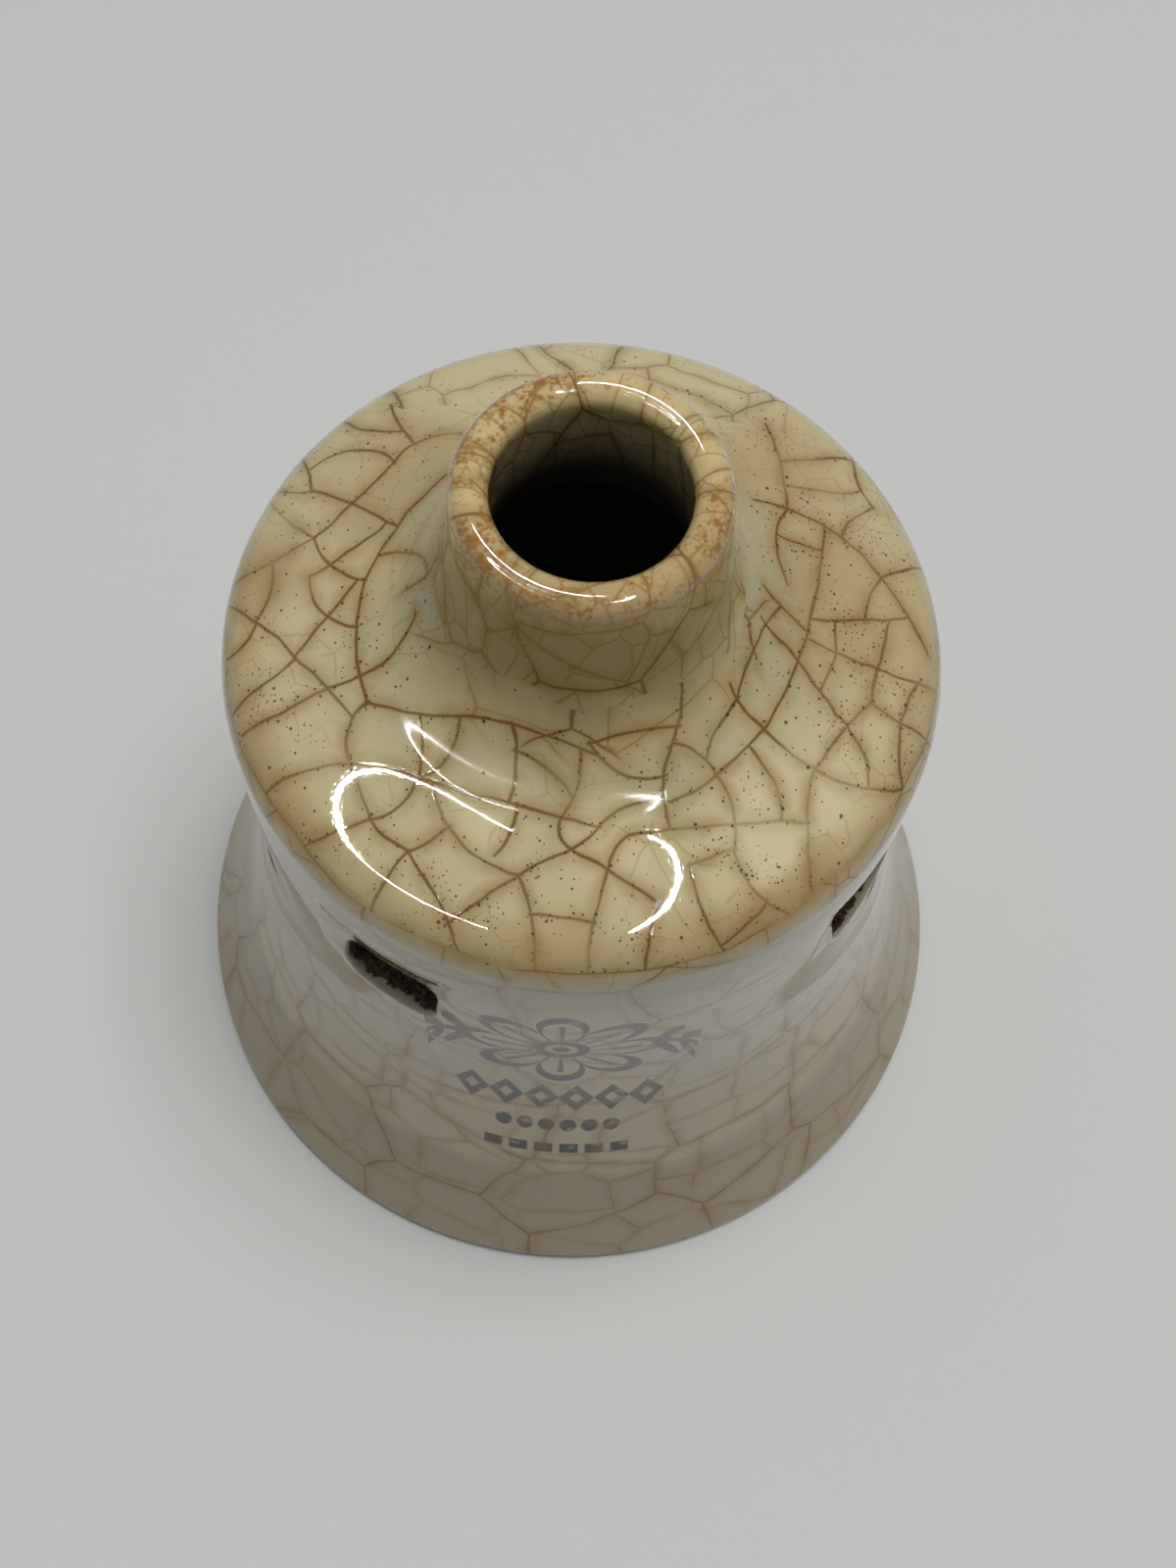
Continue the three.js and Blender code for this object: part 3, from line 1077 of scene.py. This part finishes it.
def crackle_group(section, sizes, crackle):
    """Crazing of the glaze, drawn on maps that follow the wall."""
    outputs = ["Old", "Fine", "Halo", "Pinholes", "Groove"]
    group, _ = new_group("crackle", [], [(name, NUMBER) for name in outputs])
    plan = CrazingPlan(group, section, sizes, crackle)
    place, on_top, on_neck = plan.place, plan.on_top, plan.on_neck
    listed_cracks, large_edge, middle_edge, small_edge = crack_distances(group, plan, crackle)

    swell = clouds(group, place, 2.6, 2.0, True)
    age = clouds(group, place, 12.0, 1.0, True)
    line = swell.between(0.6 * crackle.line, 1.6 * crackle.line) * on_neck.between(1.0, 1.3)

    def drawn(distance, width):
        return distance.fade(width * 2.2, width * 0.1)

    kept = age.fade(0.3, 0.6).between(0.4, 1.0)
    join = abs(plan.from_ring).least(plan.side_join)
    join_line = drawn(join, line * 0.9) * age.fade(0.4, 0.55) * 0.8
    large = drawn(large_edge, line) * kept * 0.9
    old = (drawn(listed_cracks, line * 1.1) * kept).most(large)
    middle_age = age.fade(0.75, 0.35).between(0.45, 1.0)
    middle = drawn(middle_edge, line * 0.85) * middle_age.most(on_neck)
    small_age = clouds(group, place, 9.0, 1.0, True).fade(0.46, 0.6) * 0.35
    small = drawn(small_edge, line * 0.75) * small_age.most(on_neck * 0.7)

    nearest = listed_cracks.least(large_edge).least(join)
    patchy = clouds(group, place, 4.0, 2.0, True).fade(0.3, 0.65).between(0.4, 1.0)
    halo = nearest.fade(2.4 * crackle.halo, 0.0).math("POWER", 2.0) * patchy
    near_middle = middle_edge.fade(1.8 * crackle.halo, 0.0).math("POWER", 2.0)
    halo = halo.most(near_middle * middle_age * patchy * 0.8)

    outside = plan.path.below(section.path_of("inside") / MM)
    crowd = crowding(plan.spread, PINHOLE_CROWDS) * on_top
    specks = pinholes(group, place, nearest, crowd) * on_top.between(0.25, 1.0)
    close_group(group, {
        "Old": old.most(join_line),
        "Fine": middle.most(small),
        "Halo": halo,
        "Pinholes": specks * outside,
        "Groove": old.most(middle * 0.6),
    })
    return group


def crowding(place, spots):
    """How close a place is to the listed spots, from 0 to 1."""
    return most_of(
        place.arrow("DISTANCE", (*middle, 0), output="Value").fade(reach, 0.3 * reach)
        for middle, reach in spots)


def pinholes(tree, place, crack, crowd):
    """Specks in clusters, and more of them along the cracks."""
    patches = clouds(tree, place, 6.0, 2.0, True).fade(0.4, 0.65)
    beside_crack = crack.fade(0.7, 0.1) * 0.25
    layers = []
    for size, radius, share in PINHOLE_LAYERS:
        speck = cells(tree, place, size, "F1", loose=1.0)
        chance, weight, _ = cells(tree, place, size, "F1", "Color").parts()
        wanted = (crowd * 0.85 + 0.15) * patches * share + beside_crack + 0.05
        reach = weight.between(0.4 * radius, radius)
        layers.append(speck.fade(reach * 1.3, reach * 0.5) * chance.below(wanted))
    return most_of(layers)


def lip_stains(spot, turn, path, lip_path, patches):
    """Masks of the rust and of the thin glaze on the lip."""
    group = spot.tree
    fine = clouds(group, spot, 0.8, 4.0)
    grains = clouds(group, spot, 0.35, 3.0)
    wander = (patches - 0.5) * 3.0
    near_ridge = abs(path - lip_path - 1.2 + wander).fade(3.6, 0.4)
    where = patches * 0.35 + fine * 0.3 + grains * 0.35
    chosen = where + near_ridge * 0.06 - turn.math("SINE") * 0.02
    rust = chosen.fade(0.505, 0.66) * near_ridge.fade(0.0, 0.3)
    rust = rust * (fine * 0.5 + grains * 0.5).fade(0.38, 0.58).between(0.25, 1.0)
    return rust, abs(path - lip_path - 2.0 + wander).fade(4.0, 1.5)


def thin_glaze_and_shade(path, height, broad, patches, edge_path):
    """Where the side's glaze is thin along the foot's rim, with painted shade low down and under
    the shoulder's edge.
    """
    # Painted shade: a darker band low down on the flare.
    low = (height + (broad - 0.5) * 5.0).fade(15.0, 12.0) * 0.7
    rim = (height + (patches - 0.5) * 1.5).fade(2.2, 0.4)
    # Painted shade under the shoulder's overhang.
    shade_under_shoulder = path.fade(edge_path - 10.0, edge_path - 1.0) * 0.65
    return most_of((low, rim, shade_under_shoulder))


def stains_group(section):
    """Kitchen stains, the changes of the glaze's thickness, and painted shade and sheen, as masks.
    """
    outputs = [
        "Rust", "Lip", "Ochre", "Grime", "Pale", "Pooled", "Neck", "Side", "Foot", "Brown",
        "Inside", "Bare", "Soil",
    ]
    group, _ = new_group("stains", [], [(name, NUMBER) for name in outputs])
    turn, path, _ = in_millimetres(group, "map", "wall_map").parts()
    turn = turn * MM * TURN
    front = turn.math("COSINE")
    spot = in_millimetres(group, "object")
    height = spot.parts()[2]
    patches = clouds(group, spot, 5.0, 3.0)
    broad = clouds(group, spot, 16.0, 2.0)
    broad_half = broad.fade(0.3, 0.6).between(0.5, 1.0)
    edge_path, hollow_path, lip_path, bore_path = (
        section.path_of(name) / MM for name in ("edge", "hollow", "lip", "inside"))

    rust, on_lip = lip_stains(spot, turn, path, lip_path, patches)
    side = path.fade(edge_path + 2.4, edge_path - 1.6)
    # A band along the shoulder's edge, kept to the front: partly stain, partly painted shade.
    band = abs(path - edge_path + (patches - 0.5) * 3.0 - 3.2).fade(3.6, 0.6)
    spread = in_millimetres(group, "map", "top_map")
    # Real grime on the shoulder, in the listed spots.
    grime_and_shade = crowding(spread, GRIMY_SPOTS) * broad_half
    # Painted sheen on the front of the shoulder, in patches.
    pale = crowding(spread, PAINTED_SHEEN_SPOTS) * patches.fade(0.25, 0.6).between(0.4, 1.0)
    into_hollow = path.fade(hollow_path - 5.0, hollow_path + 2.0)
    # Painted shade on the neck and the hollow below the lip, strongest at the front.
    neck = abs(path - lip_path + 5.0).fade(13.0, 4.0) * (front * 0.5 + patches).fade(0.3, 0.9)
    soiling = Wire(group, add_node(
        group, "ShaderNodeAttribute", attribute_name="soiling").outputs["Fac"])
    close_group(group, {
        "Rust": rust,
        "Lip": on_lip,
        # Stain and painted shade, at the front only.
        "Ochre": band * front.fade(-0.7, 0.9) * broad_half,
        "Grime": grime_and_shade * (1.0 - side),
        "Pale": pale * (1.0 - side),
        # Pooled glaze and painted shade in the hollow round the neck.
        "Pooled": into_hollow * path.fade(lip_path, lip_path - 3.0),
        "Neck": neck,
        "Side": side,
        # Thin glaze at the foot's rim, and painted shade low down and under the shoulder.
        "Foot": thin_glaze_and_shade(path, height, broad, patches, edge_path) * side,
        "Brown": broad.fade(0.55, 0.72) * patches.fade(0.35, 0.6) * side,
        # The inside, stained and painted near black as the shade inside the bell.
        "Inside": path.fade(bore_path, bore_path + 9.0),
        "Bare": height.fade(0.35, 0.12),
        "Soil": soiling,
    })
    return group


def flower_mask(across, rise):
    """A flower with eight petals, veins in them and a ring round its heart."""
    petal_reach = 8.4
    reach = (across * across + rise * rise).math("SQRT")
    way = rise.math("ARCTAN2", across)
    lobe = abs((way * 4.0).math("COSINE")).math("POWER", 0.55)
    petal = lobe.between(0.42 * petal_reach, petal_reach)
    outline = abs(reach - petal).fade(1.0, 0.6)
    veins = abs((way * 8.0).math("SINE")).fade(0.45, 0.2) * reach.above(2.6)
    veins = veins * (petal * 0.8 - reach).above(0.0)
    heart = abs(reach - 1.9).fade(0.6, 0.35).most(reach.fade(0.9, 0.6))
    return most_of((outline, veins, heart))


def sprigs_mask(outward, rise):
    """A drooping stem with leaves, to the left and the right of the flower."""
    stem_start, stem_end = 8.0, 11.9
    on_stem = outward.above(stem_start) * outward.below(stem_end)
    from_start = outward - stem_start
    beside = rise - (from_start * from_start * -0.3 + 0.3)
    stem = abs(beside).fade(0.75, 0.45)
    leaf_step = 2.2
    along = (from_start / leaf_step).math("FRACT") - 0.5
    off_leaf = abs(beside) - 2.3
    lean = along * leaf_step - off_leaf * 0.5
    leaf = lean * lean / 0.5 + off_leaf * off_leaf / 3.4
    return stem.most(leaf.fade(1.2, 0.8)) * on_stem


def rows_mask(across, height):
    """Rows of diamonds, dots and bars."""

    def row(level, step, half_length, shape):
        local = ((across / step).math("FRACT") - 0.5) * step
        return shape(abs(local), abs(height - level)) * abs(across).below(half_length)

    diamonds = row(29.0, 3.1, 9.3, lambda x, y: abs(x + y * 0.5 - 1.1).fade(0.6, 0.35))
    dots = row(22.8, 1.9, 5.7, lambda x, y: (x * x + y * y * 0.35).fade(0.7, 0.4))
    bars = row(18.2, 2.2, 6.6, lambda x, y: x.fade(0.9, 0.7) * y.fade(1.0, 0.7))
    return most_of((diamonds, dots, bars))


def print_group(sizes):
    """Worn print of a flower between two sprigs, over rows of small shapes."""
    group, _ = new_group("flower_print", [], [("Ink", NUMBER)])
    turn = in_millimetres(group, "map", "wall_map").parts()[0] * MM
    spot = in_millimetres(group, "object")
    height = spot.parts()[2]
    across = turn * (TURN * sizes.waist_radius / MM)
    flower_height = 42.5
    rise = height - flower_height
    ink = most_of((
        flower_mask(across, rise), sprigs_mask(abs(across), rise), rows_mask(across, height)))

    wear = clouds(group, spot, 1.8, 4.0).fade(0.3, 0.48).between(0.45, 1.0)
    from_axis = spot.arrow("MULTIPLY", (1, 1, 0)).arrow("LENGTH", output="Value")
    outside = from_axis.above((sizes.waist_radius - sizes.wall / 2) / MM)
    close_group(group, {"Ink": ink * wear * outside * abs(turn).below(0.25)})
    return group


def grain_group():
    """Fine unevenness of a glaze, and the patches where it is rougher."""
    group, given = new_group(
        "glaze_grain", [("Side", NUMBER)], [("Height", NUMBER), ("Rough", NUMBER)])
    spread = in_millimetres(group, "map", "top_map")
    spot = in_millimetres(group, "object")
    peel = clouds(group, spot, 0.9, 2.0)
    grit = clouds(group, spot, 0.34, 1.0)
    patch = clouds(group, spot, 9.0, 1.0)
    grainy = crowding(spread, GRAINY_SPOTS).most(patch.fade(0.45, 0.65) * 0.1)
    grainy = grainy.between(0.0006, 0.004) * (1.0 - given["Side"])
    close_group(group, {
        "Height": peel * 0.0015 + grit * grainy,
        "Rough": patch,
    })
    return group


def tint(group, name):
    return (*getattr(group, name), 1.0)


def glaze_colour(tree, colours, stains, crackle, ink):
    """Colour of the glaze with its print, stains, cracks and painted shade and sheen, the lowest
    layer first.
    """
    cloud = clouds(tree, in_millimetres(tree, "object"), 7.0, 3.0)
    crack_share = stains["Side"].between(1.0, 0.65)
    layers = [
        # Pooled glaze, darkened also as painted shade.
        ("pooled_and_shade", stains["Pooled"] * 0.8),
        # Painted sheen.
        ("painted_sheen_glaze", stains["Pale"] * 0.6),
        ("grime_and_shade", stains["Grime"] * 0.6),
        ("lip_glaze", stains["Lip"] * 0.8),
        # Painted shade on the neck, in the grime colour.
        ("grime_and_shade", stains["Neck"] * 0.75),
        ("lip_glaze", cloud.fade(0.45, 0.75) * 0.4),
        # Stain and painted shade along the front of the shoulder's edge.
        ("ochre_stain_and_shade", stains["Ochre"] * 0.7),
        # Thin glaze at the rim, and painted shade low down and under the shoulder.
        ("olive_and_shade", stains["Foot"] * 0.75),
        ("ochre_stain_and_shade", stains["Brown"] * 0.3),
        ("print_ink", ink * 0.95),
        ("fine_crack", crackle["Halo"] * 0.55),
        ("fine_crack", crackle["Fine"] * crack_share.math("POWER", 1.6) * 0.85),
        ("old_crack", crackle["Old"] * crack_share * 0.95),
        ("pinhole", crackle["Pinholes"] * 0.9),
        ("rust", stains["Rust"] * 0.95),
        # Stain and painted shade inside.
        ("inside", stains["Inside"]),
        ("clay", stains["Bare"]),
        ("olive_and_shade", stains["Soil"].fade(0.05, 0.5) * 0.9),
        ("soot", stains["Soil"].fade(0.45, 1.0) * 0.9),
    ]
    # The side's glaze is greyed as a painted reflection.
    seen = mix_of(tree, tint(colours, "glaze"), tint(colours, "wall_glaze_painted_reflection"), stains["Side"])
    for name, share in layers:
        seen = seen.mixed(tint(colours, name), share)
    return seen


def glaze_material(section, scene):
    """Cream glaze with crazing, pinholes, print, stains, painted shade and sheen, and bare clay
    under the foot.
    """
    sizes = scene.funnel_sizes
    material = bpy.data.materials.new("cream_glaze")
    material.use_nodes = True
    tree = material.node_tree
    shader = tree.nodes["Principled BSDF"]
    crackle = use_group(tree, crackle_group(section, sizes, scene.funnel_crackle))
    stains = use_group(tree, stains_group(section))
    ink = use_group(tree, print_group(sizes))["Ink"]
    grain = use_group(tree, grain_group(), {"Side": stains["Side"]})
    seen = glaze_colour(tree, scene.funnel_colours, stains, crackle, ink)
    feed(seen, shader.inputs["Base Color"])

    inside, soil, bare, pooled_and_shade = (stains[name] for name in ("Inside", "Soil", "Bare", "Pooled"))
    soft = stains["Rust"] * 0.15 + pooled_and_shade.math("POWER", 8.0) * 0.1
    roughness = grain["Rough"].between(0.02, 0.045) + soft
    roughness = roughness.most(bare * 0.85).most(soil * 0.8).most(inside * 0.6)
    feed(roughness, shader.inputs["Roughness"])
    dull = inside.most(soil).most(bare).most(pooled_and_shade * 0.85).most(stains["Side"] * 0.4)
    feed(1.0 - dull, shader.inputs["Coat Weight"])
    shader.inputs["Coat Roughness"].default_value = 0.02
    shader.inputs["Specular IOR Level"].default_value = 0.15
    shader.inputs["IOR"].default_value = 1.52

    crack_depth = 0.004
    height = grain["Height"] - crackle["Groove"] * crack_depth
    bump = add_node(tree, "ShaderNodeBump", {"Height": height, "Distance": MM})
    feed(Wire(tree, bump.outputs["Normal"]), shader.inputs["Normal"])
    set_out(tree)
    return material


def soot_material(colours):
    """Burnt juice: dull dark brown crumbs with paler ones among them."""
    material = bpy.data.materials.new("burnt_juice")
    material.use_nodes = True
    tree = material.node_tree
    shader = tree.nodes["Principled BSDF"]
    spot = in_millimetres(tree, "object")
    patch = clouds(tree, spot, 0.6, 2.0)
    share = patch.fade(0.5, 0.75) * 0.5
    burnt = mix_of(tree, tint(colours, "soot"), tint(colours, "old_crack"), share)
    feed(burnt, shader.inputs["Base Color"])
    feed(patch.between(0.6, 0.95), shader.inputs["Roughness"])
    shader.inputs["Specular IOR Level"].default_value = 0.15
    bump = add_node(
        tree, "ShaderNodeBump",
        {"Height": clouds(tree, spot, 0.12, 2.0) * 0.05, "Distance": MM})
    feed(Wire(tree, bump.outputs["Normal"]), shader.inputs["Normal"])
    set_out(tree)
    return material


def table_material(setting):
    """Smooth pale table top with a faint unevenness of its shine."""
    material = bpy.data.materials.new("pale_table")
    material.use_nodes = True
    tree = material.node_tree
    shader = tree.nodes["Principled BSDF"]
    shader.inputs["Base Color"].default_value = tint(setting, "table")
    spot = in_millimetres(tree, "object")
    feed(clouds(tree, spot, 60.0, 2.0).between(0.5, 0.6), shader.inputs["Roughness"])
    shader.inputs["Specular IOR Level"].default_value = 0.1
    set_out(tree)
    return material


class FUNNEL_OT_turn_body(bpy.types.Operator):
    """Turn the glazed wall and cut its steam vents"""

    bl_idname = "funnel.turn_body"
    bl_label = "Turn Glazed Body"
    bl_options = {"REGISTER", "UNDO"}

    def execute(self, context):
        scene = context.scene
        sizes = scene.funnel_sizes
        vents = scene.funnel_vents
        section = Section(sizes)
        mesh = spin_section(section)
        layers = {
            "soiling": mesh.verts.layers.float.new("soiling"),
            "path": mesh.verts.layers.float["path"],
        }
        for index in range(vents.count):
            cut_vent(mesh, Vent(sizes, vents, section, index), layers)
        settle_unevenly(mesh, sizes)
        bmesh.ops.recalc_face_normals(mesh, faces=mesh.faces)
        add_maps(mesh, section, layers)
        body = finish_mesh(mesh, "glazed_funnel", glaze_material(section, scene))
        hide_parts("funnel_body")
        return {"FINISHED"}


def add_crumb(mesh, place, size, dice):
    """One burnt crumb, a few dozen facets at most, stretched and turned by chance."""
    made = bmesh.ops.create_icosphere(mesh, subdivisions=1, radius=size)["verts"]
    stretch = Vector([dice.uniform(0.6, 1.3) for i in range(3)])
    turn = dice.uniform(0, TURN)
    turned = Matrix.Rotation(turn, 3, Vector([dice.gauss(0, 1) for i in range(3)]))
    bmesh.ops.scale(mesh, vec=stretch, verts=made)
    bmesh.ops.rotate(mesh, cent=(0, 0, 0), matrix=turned, verts=made)
    bmesh.ops.translate(mesh, vec=place, verts=made)


def bake_crumbs(mesh, floor, vents, lean, dice):
    """The crumbs of one vent, in a heap with a ragged border towards the outside."""
    ragged_size = 1.6 * MM
    for i in range(vents.crumbs):
        pair = dice.randrange(len(floor) - 1)
        along = dice.random()
        depth = dice.random()
        here = floor[pair][0].lerp(floor[pair][1], depth)
        beside = floor[pair + 1][0].lerp(floor[pair + 1][1], depth)
        spot = here.lerp(beside, along)
        size = vents.crumb_size * dice.uniform(0.35, 1.0)
        border = 0.12 + 0.3 * noise.noise(spot / ragged_size)
        if depth < border:
            continue
        heap = (0.3 + 0.9 * depth * dice.random()) * MM
        add_crumb(mesh, spot + Vector((-lean, 0, heap)), size, dice)


class FUNNEL_OT_add_residue(bpy.types.Operator):
    """Bake crumbs of burnt juice onto the upper part of each vent"""

    bl_idname = "funnel.add_residue"
    bl_label = "Add Vent Residue"
    bl_options = {"REGISTER", "UNDO"}

    def execute(self, context):
        scene = context.scene
        sizes = scene.funnel_sizes
        vents = scene.funnel_vents
        section = Section(sizes)
        dice = random.Random(7)
        lean_at_vents = 0.9 * sizes.lean
        mesh = bmesh.new()
        for index in range(vents.count):
            floor = Vent(sizes, vents, section, index).floor()
            bake_crumbs(mesh, floor, vents, lean_at_vents, dice)
        for face in mesh.faces:
            face.smooth = True
        finish_mesh(mesh, "vent_residue", soot_material(scene.funnel_colours))
        return {"FINISHED"}


def lay_table(context, setting):
    """A plain pale table top, far wider than the view."""
    mesh = bmesh.new()
    bmesh.ops.create_grid(mesh, x_segments=1, y_segments=1, size=TABLE_HALF_WIDTH)
    data = bpy.data.meshes.new("table_top")
    mesh.to_mesh(data)
    mesh.free()
    data.materials.append(table_material(setting))
    table = bpy.data.objects.new("table_top", data)
    context.scene.collection.objects.link(table)


def add_lamp(context, power):
    """A soft square lamp overhead that looks at the foot and shows in no reflection."""
    data = bpy.data.lights.new("overhead", "AREA")
    data.shape = "SQUARE"
    data.size = LAMP_SIZE
    data.energy = power
    lamp = bpy.data.objects.new("overhead", data)
    lamp.location = LAMP_PLACE
    lamp.visible_glossy = False
    lamp.rotation_euler = (-lamp.location).to_track_quat("-Z", "Y").to_euler()
    context.scene.collection.objects.link(lamp)


def add_strip(context, name, points, brightness):
    """A bowed lit strip overhead."""
    data = bpy.data.curves.new(name, "CURVE")
    data.dimensions = "3D"
    data.bevel_depth = MM
    data.bevel_resolution = 2
    spline = data.splines.new("BEZIER")
    spline.bezier_points.add(len(points) - 1)
    for knot, (x, y, half_thickness) in zip(spline.bezier_points, points):
        knot.co = (x * MM, y * MM, STRIP_HEIGHT)
        knot.handle_left_type = knot.handle_right_type = "AUTO"
        knot.radius = half_thickness
    material = bpy.data.materials.new(name)
    material.use_nodes = True
    shader = material.node_tree.nodes["Principled BSDF"]
    shader.inputs["Base Color"].default_value = (0, 0, 0, 1)
    shader.inputs["Emission Color"].default_value = (1, 0.99, 0.95, 1)
    shader.inputs["Emission Strength"].default_value = brightness
    data.materials.append(material)
    strip = bpy.data.objects.new(name, data)
    strip.visible_diffuse = False
    context.scene.collection.objects.link(strip)


def set_camera(context):
    """The photograph's view: close by, from about 66 degrees above the horizon."""
    place = Vector((0, -0.0824, 0.2157))
    pitch = math.radians(65.79)
    yaw = math.radians(0.68)
    roll = math.radians(4.03)
    ahead = Vector((
        math.sin(yaw) * math.cos(pitch), math.cos(yaw) * math.cos(pitch), -math.sin(pitch)))
    level = Vector((math.cos(yaw), -math.sin(yaw), 0))
    over = level.cross(ahead)
    right = math.cos(roll) * level + math.sin(roll) * over
    up = math.cos(roll) * over - math.sin(roll) * level
    data = bpy.data.cameras.new("view")
    data.sensor_width = 36
    data.lens = 49.93
    data.clip_start = 0.01
    camera = bpy.data.objects.new("view", data)
    turned = Matrix((right, up, -ahead)).transposed().to_4x4()
    camera.matrix_world = Matrix.Translation(place) @ turned
    context.scene.collection.objects.link(camera)
    context.scene.camera = camera


def set_world(context, setting):
    """Even light from above and behind, less of it from the front, and a pale background."""
    world = bpy.data.worlds.new("room")
    context.scene.world = world
    world.use_nodes = True
    tree = world.node_tree
    background = tree.nodes["Background"]
    background.inputs["Color"].default_value = (0.96, 0.98, 1, 1)
    way = Wire(tree, add_node(tree, "ShaderNodeTexCoord").outputs["Generated"])
    _, away, up = way.parts()
    from_front = (away * -1.0 - up * 0.6).fade(-0.35, 0.35)
    light = (1.0 - from_front * setting.front_shade) * setting.sky
    light_path = add_node(tree, "ShaderNodeLightPath")
    seen = Wire(tree, light_path.outputs["Is Camera Ray"])
    for kind in ("Is Glossy Ray", "Is Transmission Ray"):
        seen = seen.most(Wire(tree, light_path.outputs[kind]))
    feed(light.most(seen * setting.backdrop), background.inputs["Strength"])
    set_out(tree)


class FUNNEL_OT_set_stage(bpy.types.Operator):
    """Lay the table, hang the lamp and the lit strips and set the camera"""

    bl_idname = "funnel.set_stage"
    bl_label = "Set Stage"
    bl_options = {"REGISTER", "UNDO"}

    def execute(self, context):
        setting = context.scene.funnel_stage
        lay_table(context, setting)
        set_world(context, setting)
        add_lamp(context, setting.lamp)
        add_strip(context, "left_strip", LEFT_STRIP, setting.strip)
        add_strip(context, "right_strip", RIGHT_STRIP, setting.strip)
        add_strip(context, "back_strip", BACK_STRIP, setting.strip)
        set_camera(context)
        context.scene.view_settings.view_transform = "Standard"
        return {"FINISHED"}


class FUNNEL_PT_sidebar(bpy.types.Panel):
    """Sizes, colours and steps of the pie funnel"""

    bl_idname = "FUNNEL_PT_sidebar"
    bl_label = "Pie Funnel"
    bl_space_type = "VIEW_3D"
    bl_region_type = "UI"
    bl_category = "Pie Funnel"

    def draw(self, context):
        layout = self.layout
        for step in STEPS:
            layout.operator(step.bl_idname)
        for group_name in SETTINGS:
            group = getattr(context.scene, group_name)
            box = layout.box()
            for prop in group.bl_rna.properties:
                if prop.identifier not in ("rna_type", "name"):
                    box.prop(group, prop.identifier)


SETTINGS = {
    "funnel_sizes": FunnelSizes,
    "funnel_vents": VentSizes,
    "funnel_crackle": CrackleSizes,
    "funnel_colours": GlazeColours,
    "funnel_stage": StageSetting,
}
STEPS = (FUNNEL_OT_turn_body, FUNNEL_OT_add_residue, FUNNEL_OT_set_stage)


def register():
    for cls in (*SETTINGS.values(), *STEPS, FUNNEL_PT_sidebar):
        bpy.utils.register_class(cls)
    for name, cls in SETTINGS.items():
        setattr(bpy.types.Scene, name, PointerProperty(type=cls))


def unregister():
    for name in SETTINGS:
        delattr(bpy.types.Scene, name)
    for cls in (FUNNEL_PT_sidebar, *reversed(STEPS), *reversed(SETTINGS.values())):
        bpy.utils.unregister_class(cls)


def main():
    register()
    bpy.ops.funnel.turn_body()
    bpy.ops.funnel.add_residue()
    bpy.ops.funnel.set_stage()


if __name__ == "__main__":
    main()
